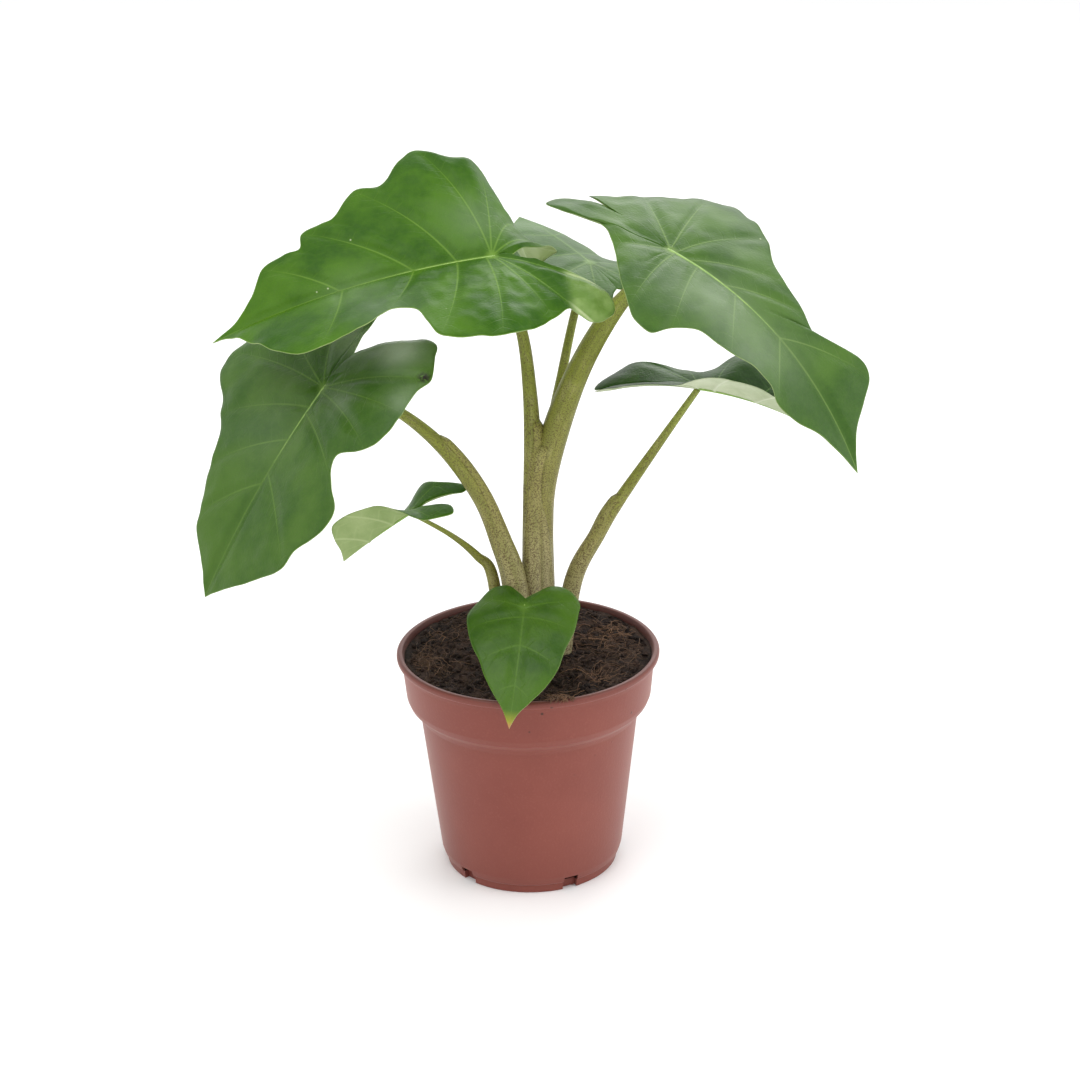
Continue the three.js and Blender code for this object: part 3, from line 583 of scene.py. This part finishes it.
def half_grid(leaf, name, per_row, rows):
    """Flat points of one half, rays by columns, with each point's place among the veins."""
    table = np.array([(100, 100, 0, 0)] + [(*row, 0)[:4] for row in leaf[name]], float) / 100
    table[:, 0] *= leaf["length"]
    table[:, 1] *= np.where(table[:, 1] < 0, leaf["lobe"], leaf["length"])
    table[:, 2] *= leaf["half_width"]
    sign = 1 if name == "left" else -1
    count = len(table) - 1
    where = np.linspace(0, count, count * per_row + 1)
    margin = catmull(table[:, 1:3], where)
    root = np.maximum(0, catmull(table[:, :1], where)[:, 0])
    margin[0, 1] = margin[-1, 1] = 0
    veins = np.flatnonzero(table[:, 3])
    phase = np.interp(where, veins, np.arange(1, len(veins) + 1) * 1.0)
    phase = np.where(where < veins[0], where / veins[0], phase)
    tail = (where - veins[-1]) / (count - veins[-1])
    phase = np.where(where > veins[-1], len(veins) + tail * 0.5, phase)
    share = np.linspace(0, 1, rows + 1)
    start = np.stack([root, 0 * root], 1)[:, None]
    end = margin[:, None]
    length = np.linalg.norm(end - start, axis=2)
    # Rays bow back a little on their way to the margin, less so on the basal lobe.
    bow = 0.1 * smooth_step((margin[:, 0] / leaf["half_width"] + 0.3) / 0.6)
    sweep = (bow * smooth_step(np.abs(margin[:, 1]) / (0.2 * leaf["half_width"])))[:, None] * length
    middle = (start + end) / 2 - np.stack([sweep[:, 0], 0 * sweep[:, 0]], 1)[:, None]
    t = share[None, :, None]
    flat = (1 - t) ** 2 * start + 2 * t * (1 - t) * middle + t ** 2 * end
    flat[-1, :, 1] = 0
    # Width of one step of phase at each point, in mm, measured across the rays.
    ray_way = unit(np.gradient(flat, axis=1), 1e-9)
    step = np.gradient(flat, axis=0)
    across = np.abs(step[..., 0] * ray_way[..., 1] - step[..., 1] * ray_way[..., 0])
    gap = across / (np.gradient(phase)[:, None] + 1e-9)
    flat[..., 1] *= sign
    return flat, np.repeat(phase[:, None], rows + 1, 1), gap, share, length


def sheet_normal(leaf, ribs, u, v):
    """The sheet's normal, from differences that stay on one side of the midrib."""
    h = 0.4
    along_u = sheet(leaf, ribs, u + h, v) - sheet(leaf, ribs, u - h, v)
    low_v = np.where(v >= 0, np.maximum(v - h, 0), v - h)
    high_v = np.where(v >= 0, v + h, np.minimum(v + h, -1e-9))
    along_v = sheet(leaf, ribs, u, high_v) - sheet(leaf, ribs, u, low_v)
    return unit(np.cross(along_u, along_v), 1e-12)


def relief(leaf, seed, flat, away, spine, gap, edge):
    """Lift off the sheet: tissue swells and dents between the veins, and the margin ripples."""
    u, v = flat.T
    quilt = leaf["quilt"]
    pillow = (1 - np.exp(-(away / 2.4) ** 2)) * (1 - np.exp(-(spine / 3) ** 2))
    pillow *= np.clip(gap / 14, 0, 1) * np.clip(edge / 8, 0, 1)
    flat3 = np.stack([u, v, 0 * u], 1)
    # Dents are deepest on the left side, from the lobe to about u = 60.
    dent = 1 + leaf["dent"] * np.where(v > 0, smooth_step(1 - u / 60), 0)
    crumple = wobble(flat3, 15, seed) * 1.1 + wobble(flat3, 6.5, seed + 3) * 0.45 * dent
    crumple *= (1 - np.exp(-(away / 3) ** 2)) * (1 - np.exp(-(spine / 4) ** 2))
    ripple = wobble(flat3, 11, seed + 7) * 1.2 * np.clip(1 - edge / 14, 0, 1) ** 2
    lift = quilt * (pillow * 1.1 + crumple) + (0.35 + 0.5 * quilt) * ripple
    return lift * np.clip(spine / 4, 0, 1)


def midrib_tube(leaf, ribs, rings, sides):
    """The midrib: a tapering round ridge, standing further out below than above."""
    at = np.linspace(-1.5, leaf["length"] * 0.985, rings)
    line, side, normal = rib_frame(ribs, at)
    thick = (leaf["length"] / FULL_LENGTH) ** 0.7
    radius = thick * (0.32 + 1.25 * (1 - np.clip(at / leaf["length"], 0, 1)) ** 1.3)
    turn = circle(sides)
    return (line[:, None] + side[:, None] * (np.cos(turn)[None, :, None] * radius[:, None, None])
            + normal[:, None] * ((np.sin(turn)[None, :] * 0.8 - 0.45)[..., None] * radius[:, None, None]))


def blade(name, leaf, top, under, rib):
    """A leaf: an upper and a lower skin that meet at the margin, and the midrib."""
    big = leaf["length"] > 100
    per_row, rows = (8, 34) if big else (6, 18)
    ribs = midrib(leaf)
    flats, cells, edges, floats = [], [], [], {}
    offset = 0
    for half, sign in (("left", 1), ("right", -1)):
        flat, phase, gap, share, length = half_grid(leaf, half, per_row, rows)
        columns, line = flat.shape[:2]
        number = offset + np.arange(columns * line).reshape(columns, line)
        a, b, c, d = number[:-1, :-1], number[:-1, 1:], number[1:, 1:], number[1:, :-1]
        cells.append(quads(a, b, c, d) if sign > 0 else quads(a, d, c, b))
        edges.append((number[:, -1], sign))
        flats.append(flat.reshape(-1, 2))
        share = np.repeat(share[None, :], columns, 0)
        fields = dict(phase=phase, gap=gap, share=share, ray=share * length, edge=(1 - share) * length,
                      along=flat[..., 0], hub=np.linalg.norm(flat, axis=2))
        for key, value in fields.items():
            floats.setdefault(key, []).append(value.ravel())
        offset += columns * line
    flat = np.vstack(flats)
    floats = {key: np.concatenate(value) for key, value in floats.items()}
    u, v = flat.T
    spine = np.where(u > 0, np.abs(v), np.hypot(u, v))
    taper = 0.25 + 0.75 * np.clip(1 - u / leaf["length"], 0, 1)
    floats["spine"] = spine / taper / (leaf["length"] / FULL_LENGTH) ** 0.6
    # Painted sheen: where the drooping end of the left lobe is painted paler.
    floats["pale"] = np.where(v > 0, smooth_step((-u - leaf["pale"]) / 5), 0)
    # Painted sheen: the strength of the whitish patches of painted light at each point.
    floats["painted_sheen"] = sum((power * np.exp(-((u - at_u) ** 2 + (v - at_v) ** 2) / (reach * 0.8) ** 2)
                           for at_u, at_v, reach, power in leaf["painted_sheen"]), 0 * u)
    scar_u, scar_v = leaf["scar"]
    floats["scar"] = smooth_step(1.6 - np.hypot(u - scar_u, v - scar_v) / 2.4)
    edge = floats["edge"]
    away = np.abs((floats["phase"] + 0.5) % 1 - 0.5) * floats["gap"]
    normal = sheet_normal(leaf, ribs, u, v)
    seed = sum(map(ord, name)) % 50
    lift = relief(leaf, seed, flat, away, spine, floats["gap"], edge)
    middle = sheet(leaf, ribs, u, v) + normal * lift[:, None]
    thin = 0.16 + 0.14 * np.clip(edge / 6, 0, 1)
    vein = np.exp(-(away / 0.7) ** 2) * (1 - 0.75 * floats["share"]) * np.clip(edge / 3, 0, 1)
    upper = middle + normal * (thin + 0.12 * vein)[:, None]
    lower = middle - normal * (thin + 0.55 * vein)[:, None]
    total = len(middle)
    skin = np.vstack(cells)
    blocks = [skin, skin[:, ::-1] + total]
    for border, sign in edges:
        a, b = border[:-1], border[1:]
        blocks.append(quads(b, a, a + total, b + total) if sign > 0
                      else quads(a, b, b + total, a + total))
    rings, sides = (90, 12) if big else (50, 10)
    tube = midrib_tube(leaf, ribs, rings, sides).reshape(-1, 3)
    ring = 2 * total + np.arange(rings * sides).reshape(rings, sides)
    blocks.append([face[::-1] for face in tube_faces(ring)])
    faces = [face for one in blocks for face in one]
    kinds = np.repeat([0, 1, 1, 1, 2], [len(one) for one in blocks])
    floats = {key: np.concatenate([value, value, np.zeros(len(tube))]) for key, value in floats.items()}
    made = make_object("leaf_" + name, np.vstack([upper, lower, tube]), faces, [top, under, rib],
                       kinds, True, floats)
    clean(made)
    return made


def clean(made, distance=1e-6):
    """Welds coincident vertices and drops faces without area."""
    work = bmesh.new()
    work.from_mesh(made.data)
    bmesh.ops.remove_doubles(work, verts=work.verts, dist=distance)
    bmesh.ops.dissolve_degenerate(work, edges=work.edges, dist=distance)
    work.to_mesh(made.data)
    work.free()


# ---------------------------------------------------------------- stalks
SHEATHS = {  # share of the stalk's length that is sheathed, and the side of its shoulder in degrees
    "upper_right": (0.52, 200), "upper_left": (0.62, 335), "lower_left": (0.7, 20),
    "back": (0.56, 200), "small_right": (0.6, 195), "small_left": (0.42, 15), "front": (0.6, 270),
}


def stalk(name, knots, number, material):
    """A ribbed stalk with the sheath round its lower part."""
    table = np.array(knots, float)
    count = len(table) - 1
    rings, sides = 12 * count, 28
    where = np.linspace(0, count, rings)
    centre = catmull(table[:, :3], where)
    radius = catmull(table[:, 3:], where)[:, 0]
    along = unit(np.gradient(centre, axis=0))
    across = unit(np.cross([0, 1.0, 0], along))
    other = np.cross(along, across)
    rise = np.concatenate([[0], np.cumsum(np.linalg.norm(np.diff(centre, axis=0), axis=1))])
    share = rise / rise[-1]
    turn = circle(sides)
    ribbing = 1 + 0.012 * np.sin(turn * 9 + number) + 0.01 * np.sin(turn * 5 + 2 * number)
    spokes = across[:, None] * np.cos(turn)[None, :, None] + other[:, None] * np.sin(turn)[None, :, None]
    skin = centre[:, None] + spokes * (radius[:, None] * ribbing[None, :])[..., None]
    grid = np.arange(rings * sides).reshape(rings, sides)
    faces = tube_faces(grid)
    floats = dict(rise=np.repeat(rise, sides), share=np.repeat(share, sides),
                  around=(turn[None, :] * np.mean(radius) + 0 * rise[:, None]).ravel(),
                  plant=np.full(rings * sides, number * 3.7))
    vertices = skin.reshape(-1, 3)
    # The sheath: a thin wrap round the lower stalk whose free top narrows to a blunt tongue.
    reach, facing = SHEATHS[name]
    rows = int(np.searchsorted(share, reach))
    steps = 30
    level = np.arange(rows) / (rows - 1)
    half = math.radians(150) * (1 - smooth_step((level - 0.25) / 0.7) * 0.62)
    spread = np.linspace(-1, 1, steps)
    angle = math.radians(facing) + half[:, None] * spread[None, :]
    # The shoulder swells near the top, then closes round on to the stalk.
    close = 1 - smooth_step((level - 0.965) / 0.035)
    grow = 0.25 + 0.35 * smooth_step(1 - level / 0.7)
    lift = 0.42 * radius[:rows] * smooth_step((level - 0.55) / 0.35)
    swell = np.sqrt(np.clip(1 - spread ** 2, 0, 1))[None, :] * 0.8 + 0.2
    wall = radius[:rows, None] + ((grow + lift) * (0.15 + 0.85 * close))[:, None] * swell
    way = (across[:rows, None] * np.cos(angle)[..., None] + other[:rows, None] * np.sin(angle)[..., None])
    outer = centre[:rows, None] + way * wall[..., None]
    inner = centre[:rows, None] + way * (radius[:rows, None] - 0.3)[..., None]
    base = len(vertices)
    size = rows * steps
    out = base + np.arange(size).reshape(rows, steps)
    inn = out + size
    for corners in ((out[:-1, :-1], out[:-1, 1:], out[1:, 1:], out[1:, :-1]),
                    (inn[:-1, :-1], inn[1:, :-1], inn[1:, 1:], inn[:-1, 1:]),
                    (out[:-1, 0], out[1:, 0], inn[1:, 0], inn[:-1, 0]),
                    (out[1:, -1], out[:-1, -1], inn[:-1, -1], inn[1:, -1]),
                    (out[-1, :-1], out[-1, 1:], inn[-1, 1:], inn[-1, :-1]),
                    (out[0, 1:], out[0, :-1], inn[0, :-1], inn[0, 1:])):
        faces += quads(*corners).tolist()
    vertices = np.vstack([vertices, outer.reshape(-1, 3), inner.reshape(-1, 3)])
    extra = dict(rise=np.tile(np.repeat(rise[:rows], steps), 2),
                 share=np.tile(np.repeat(share[:rows], steps), 2) * 0.8,
                 around=np.tile((angle * np.mean(radius)).ravel(), 2),
                 plant=np.full(2 * size, number * 3.7 + 1))
    floats = {key: np.concatenate([floats[key], extra[key]]) for key in floats}
    return make_object("stalk_skin_" + name, vertices, faces, [material], None, True, floats)


# ---------------------------------------------------------------- pot
RIM, HEIGHT, WALL = 60.0, 105.2, 1.4
COLLAR_FOOT = HEIGHT - 27.5
FLOOR_UNDER, FLOOR_TOP = 2.0, 3.6
FOOT_OUT, FOOT_IN = 39.6, 36.5
BODY_LOW, BODY_HIGH = 42.1, 50.0  # outer radius at the two ends of the wall below the collar
COLLAR_STEP, COLLAR_LOW, COLLAR_HIGH = 54.8, 56.0, 57.5  # outer radius up the collar
COLLAR_START, COLLAR_END = COLLAR_FOOT + 6.4, HEIGHT - 6  # heights of its straight stretch
DRAINS, FIRST_DRAIN = 5, -64.5
DRAIN_DEPTH, DRAIN_WIDTH, DRAIN_HEIGHT = 10, 7.0, 7.0
DRAIN_REACH = (FOOT_IN + 5.6) * MM


def rounded(points, radius, steps=4):
    """The profile with each corner turned into a small arc."""
    points = [np.array(p, float) for p in points]
    made = []
    for i, here in enumerate(points):
        before, after = points[i - 1], points[(i + 1) % len(points)]
        arms = [(arm, np.linalg.norm(arm)) for arm in (before - here, after - here)]
        reach = min(radius, *(length * 0.4 for arm, length in arms))
        a, b = (here + arm / (length + 1e-9) * reach for arm, length in arms)
        for t in np.linspace(0, 1, steps):
            made.append((1 - t) ** 2 * a + 2 * t * (1 - t) * here + t * t * b)
    return np.array(made)


def pot(material):
    """The pot, a turned profile with drain slots cut through its foot."""
    outside = [(FOOT_OUT, 0), (FOOT_OUT + 0.2, 3.9), (41.0, 4.5), (BODY_LOW, 8),
               (BODY_HIGH, COLLAR_FOOT - 2.6), (50.9, COLLAR_FOOT - 0.4), (51.6, COLLAR_FOOT + 0.6),
               (COLLAR_STEP, COLLAR_FOOT + 3.4), (COLLAR_LOW, COLLAR_START),
               (COLLAR_HIGH, COLLAR_END), (58.1, HEIGHT - 3.6), (59.6, HEIGHT - 3.2),
               (RIM, HEIGHT - 2.2), (RIM, HEIGHT - 1), (RIM - 0.9, HEIGHT)]
    inside = [(57.4, HEIGHT - 0.1), (56.6, HEIGHT - 2.4), (COLLAR_HIGH - WALL, COLLAR_END),
              (COLLAR_LOW - WALL, COLLAR_START), (COLLAR_STEP - WALL, COLLAR_FOOT + 4),
              (BODY_HIGH - WALL, COLLAR_FOOT - 1.5), (BODY_LOW - WALL, 8), (39.8, FLOOR_TOP),
              (20, FLOOR_TOP)]
    under = [(20, FLOOR_UNDER), (FOOT_IN, FLOOR_UNDER), (FOOT_IN, 0)]
    wall = rounded(outside + inside, 0.5)
    ring = np.vstack([wall, rounded(under, 0.3)])
    spokes = 240
    turn = circle(spokes)
    points = np.stack([np.cos(turn)[:, None] * ring[None, :, 0], np.sin(turn)[:, None] * ring[None, :, 0],
                       0 * turn[:, None] + ring[None, :, 1]], -1).reshape(-1, 3)
    n = len(ring)
    grid = np.arange(spokes * n).reshape(spokes, n)
    nxt = np.roll(grid, -1, axis=0)
    up_one, nxt_up = np.roll(grid, -1, axis=1), np.roll(nxt, -1, axis=1)
    faces = np.stack([grid, nxt, nxt_up, up_one], -1)
    # The floor's two faces close on the axis instead of meeting at the split.
    split = len(wall) - 1
    faces = np.delete(faces, split, axis=1).reshape(-1, 4).tolist()
    centre_top, centre_low = len(points), len(points) + 1
    points = np.vstack([points, [[0, 0, FLOOR_TOP], [0, 0, FLOOR_UNDER]]])
    for i in range(spokes):
        j = (i + 1) % spokes
        faces.append([grid[i, split], grid[j, split], centre_top])
        faces.append([grid[j, split + 1], grid[i, split + 1], centre_low])
    made = make_object("nursery_pot", points, faces, [material])
    cutters = []
    for i in range(DRAINS):
        angle = math.radians(FIRST_DRAIN + i * 360 / DRAINS)
        bpy.ops.mesh.primitive_cube_add(size=1)
        box = bpy.context.object
        box.scale = (DRAIN_DEPTH * MM, DRAIN_WIDTH * MM, 2 * DRAIN_HEIGHT * MM)
        box.location = (DRAIN_REACH * math.cos(angle), DRAIN_REACH * math.sin(angle), 0)
        box.rotation_euler = (0, 0, angle)
        bevel = box.modifiers.new("round", "BEVEL")
        bevel.width, bevel.segments = 1.2 * MM, 4
        cutters.append(box)
    for box in cutters:
        cut = made.modifiers.new("drain", "BOOLEAN")
        cut.object, cut.operation, cut.solver = box, "DIFFERENCE", "EXACT"
    settle(made)
    for box in cutters:
        bpy.data.objects.remove(box)
    made.data.polygons.foreach_set("use_smooth", np.full(len(made.data.polygons), True))
    made.data.set_sharp_from_angle(angle=math.radians(38))
    return made


def settle(made):
    """Applies an object's modifiers to its mesh."""
    graph = bpy.context.evaluated_depsgraph_get()
    mesh = bpy.data.meshes.new_from_object(made.evaluated_get(graph))
    made.modifiers.clear()
    made.data = mesh


# ---------------------------------------------------------------- potting mix
SOIL_LEVEL, SOIL_FALL = 102.3, -0.8  # height at the axis, and how far it falls to the back
SOIL_FOOT = 84
SOIL_FOOT_RADIUS = 53.5
CRUMB_LIMIT, FIBRE_LIMIT = 54.2, 53.6  # crumbs and fibres stay inside these radii


def wall_inside(z):
    """The radius of the mix at the height z, a little short of the collar's wall."""
    slope = (COLLAR_HIGH - COLLAR_LOW) / (COLLAR_END - COLLAR_START)
    return COLLAR_LOW - WALL + (z - COLLAR_START) * slope - 0.2


def soil_height(x, y):
    """The uneven top of the mix."""
    p = Vector((x, y, 0))
    z = SOIL_LEVEL - SOIL_FALL * y / RIM
    z += 1.1 * noise.noise(p / 17) + 0.9 * noise.noise(p / 7 + Vector((9, 2, 5)))
    z += 0.7 * abs(noise.noise(p / 3.1 + Vector((4, 7, 1)))) + 0.35 * noise.noise(p / 1.4)
    return z


def potting_mix(material):
    """The mix, a plug with an uneven top."""
    rings, spokes = 74, 220
    radius = np.linspace(0, 1, rings) ** 0.85
    turn = circle(spokes)
    points = [(0, 0, soil_height(0, 0))]
    for share in radius[1:]:
        for angle in turn:
            x, y = math.cos(angle), math.sin(angle)
            reach = share * wall_inside(SOIL_LEVEL - SOIL_FALL * y)
            points.append((reach * x, reach * y, soil_height(reach * x, reach * y)))
    for angle in turn:
        points.append((SOIL_FOOT_RADIUS * math.cos(angle), SOIL_FOOT_RADIUS * math.sin(angle), SOIL_FOOT))
    grid = 1 + np.arange(rings * spokes).reshape(rings, spokes)
    nxt = np.roll(grid, -1, axis=1)
    faces = quads(grid[:-1], grid[1:], nxt[1:], nxt[:-1]).tolist()
    faces += [[0, grid[0, j], nxt[0, j]] for j in range(spokes)]
    faces.append(grid[-1][::-1].tolist())
    return make_object("soil_top", points, faces, [material])


def scattered(rng, limit):
    """A random place on a disc."""
    angle, reach = rng.uniform(0, 2 * math.pi), limit * math.sqrt(rng.random())
    return reach * math.cos(angle), reach * math.sin(angle)


def lumps(material, number, seed):
    """Crumbs of mix: small uneven stones, half sunk in the top."""
    rng = random.Random(seed)
    # The corners and faces of an icosahedron.
    t = (1 + 5 ** 0.5) / 2
    corner = np.array([(-1, t, 0), (1, t, 0), (-1, -t, 0), (1, -t, 0), (0, -1, t), (0, 1, t),
                       (0, -1, -t), (0, 1, -t), (t, 0, -1), (t, 0, 1), (-t, 0, -1), (-t, 0, 1)]) / 1.9
    shell = [(0, 11, 5), (0, 5, 1), (0, 1, 7), (0, 7, 10), (0, 10, 11), (1, 5, 9), (5, 11, 4),
             (11, 10, 2), (10, 7, 6), (7, 1, 8), (3, 9, 4), (3, 4, 2), (3, 2, 6), (3, 6, 8),
             (3, 8, 9), (4, 9, 5), (2, 4, 11), (6, 2, 10), (8, 6, 7), (9, 8, 1)]
    points, faces = [], []
    for i in range(number):
        size = rng.choice([0.35, 0.5, 0.6, 0.8, 1.1, 1.5])
        x, y = scattered(rng, CRUMB_LIMIT)
        z = soil_height(x, y) + 0.25 * size
        shape = corner * [size * rng.uniform(0.7, 1.4), size * rng.uniform(0.7, 1.3),
                          size * rng.uniform(0.5, 1)]
        shape = shape * np.array([[rng.uniform(0.8, 1.2)] for _ in corner])
        spin = Matrix.Rotation(rng.uniform(0, 6.28), 3, "Z")
        spin = np.array(spin @ Matrix.Rotation(rng.uniform(0, 3), 3, "X"))
        base = len(points)
        points += (shape @ spin.T + [x, y, z]).tolist()
        faces += [[base + k for k in f] for f in shell]
    return make_object("soil_crumbs", points, faces, [material], smooth=False)


def hair(points, faces, shades, path, radius, shade):
    """Adds one fibre as a thin four-sided tube along the path."""
    path = np.array(path)
    along = unit(np.gradient(path, axis=0), 1e-9)
    across = unit(np.cross(along, [0.31, 0.2, 0.93]), 1e-9)
    other = np.cross(along, across)
    base = len(points)
    count = len(path)
    for i in range(count):
        r = radius * min(1, 0.35 + 1.3 * min(i, count - 1 - i) / count * 2)
        for j in range(4):
            a = j * math.pi / 2
            points.append(path[i] + (across[i] * math.cos(a) + other[i] * math.sin(a)) * r)
            shades.append(shade)
    faces += tube_faces(base + np.arange(count * 4).reshape(count, 4))


def strand(rng, x, y, steps, step, bend, arch):
    """The path of one fibre lying on the mix from (x, y)."""
    heading = rng.uniform(0, 2 * math.pi)
    path = []
    for k in range(steps):
        heading += bend + rng.gauss(0, 0.12)
        x += step * math.cos(heading)
        y += step * math.sin(heading)
        if x * x + y * y > FIBRE_LIMIT ** 2:
            break
        path.append((x, y, soil_height(x, y) + 0.12 + arch * math.sin(math.pi * k / (steps - 1))))
    return path


def fibres(material, seed):
    """Coir: fine dark threads all over, and tangles of longer, paler ones."""
    rng = random.Random(seed)
    points, faces, shades = [], [], []
    for i in range(900):
        path = strand(rng, *scattered(rng, 53), rng.randint(6, 16), 0.6, rng.gauss(0, 0.1),
                      rng.uniform(0, 0.9))
        if len(path) > 4:
            hair(points, faces, shades, path, rng.uniform(0.08, 0.16), 0.35 * rng.random())
    for i in range(22):
        middle, spread = scattered(rng, 50), rng.uniform(2.5, 6.5)
        tone = rng.uniform(0.1, 0.75)
        for k in range(rng.randint(16, 42)):
            path = strand(rng, rng.gauss(middle[0], spread), rng.gauss(middle[1], spread * 0.8),
                          rng.randint(10, 30), 0.55, rng.gauss(0, 0.07), rng.uniform(0, 2.2))
            if len(path) > 4:
                hair(points, faces, shades, path, rng.uniform(0.08, 0.17),
                     min(1, max(0, rng.gauss(tone, 0.2))))
    # A small tuft has caught on the front of the rim.
    for i in range(64):
        x, heading = rng.gauss(14.5, 2.2), rng.uniform(-2.2, -0.9)
        y, path = -54.5 + rng.uniform(0, 3), []
        z = HEIGHT + rng.uniform(-1.6, 0.3)
        for k in range(rng.randint(8, 15)):
            heading += rng.gauss(0, 0.25)
            x += 0.55 * math.cos(heading)
            y += 0.55 * math.sin(heading)
            over = math.hypot(x, y) - RIM
            z = max(z + rng.gauss(0.04, 0.16), HEIGHT + 0.15) if over < 0.2 else z - 0.5
            if over > 0.9:
                break
            path.append((x, y, z))
        if len(path) > 4:
            hair(points, faces, shades, path, rng.uniform(0.13, 0.25), rng.uniform(0.2, 1))
    return make_object("soil_fibres", points, faces, [material], floats={"shade": shades})


# ---------------------------------------------------------------- build
unders = {kind: leaf_under(kind) for kind in UNDERS}
rib_skin = rib_material("midrib", (124, 160, 76))
tops = {tint: leaf_top(tint) for tint in TINTS}
for name, own in LEAVES.items():
    leaf = {**USUAL, **own}
    made = blade(name, leaf, tops[leaf["tint"]], unders[leaf["under"]], rib_skin)
    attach(made, "root")
    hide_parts("blade_" + name)

skin = stalk_material()
for number, (name, knots) in enumerate(STALKS.items()):
    made = stalk(name, knots, number, skin)
    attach(made, "root")
    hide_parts("stalk_" + name)

made = pot(pot_material())
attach(made, "root")
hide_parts("pot")

soil_skin, fibre_skin = mix_material(), fibre_material()
for made in (potting_mix(soil_skin), lumps(soil_skin, 1500, 5), fibres(fibre_skin, 11)):
    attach(made, "root")
    if made.name == "soil_top":
        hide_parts("potting_mix")

# ---------------------------------------------------------------- stage
bpy.ops.mesh.primitive_plane_add(size=60, location=(0, 0, 0))
floor = bpy.context.object
floor.name = "floor"
paper = Nodes("floor_paper")
shade = paper.ramp(paper.noise(paper.place(), 3, 2), 0.3, 0.7)
paper.surface(paper.mix(shade, (0.93, 0.93, 0.93, 1), (0.95, 0.95, 0.95, 1)), 0.9)
floor.data.materials.append(paper.material)

world = bpy.data.worlds.new("studio")
bpy.context.scene.world = world
world.use_nodes = True
sky = world.node_tree.nodes["Background"]
sky.inputs["Color"].default_value = (1, 1, 1, 1)
sky.inputs["Strength"].default_value = 1.0


def area_light(name, location, size, power, aim=(0, 0, 0.18)):
    """A square light that points at the middle of the plant."""
    data = bpy.data.lights.new(name, "AREA")
    data.size = size
    data.energy = power
    made = bpy.data.objects.new(name, data)
    bpy.context.scene.collection.objects.link(made)
    made.location = location
    made.rotation_euler = (Vector(aim) - Vector(location)).to_track_quat("-Z", "Y").to_euler()
    return made


area_light("key", (-0.5, -0.6, 1.7), 1.2, 10)
area_light("fill", (1.2, -0.3, 0.9), 0.9, 5)
area_light("back", (0.3, 1.3, 1.2), 1.2, 9)

scene = bpy.context.scene
scene.view_settings.view_transform = "Standard"
scene.view_settings.look = "None"
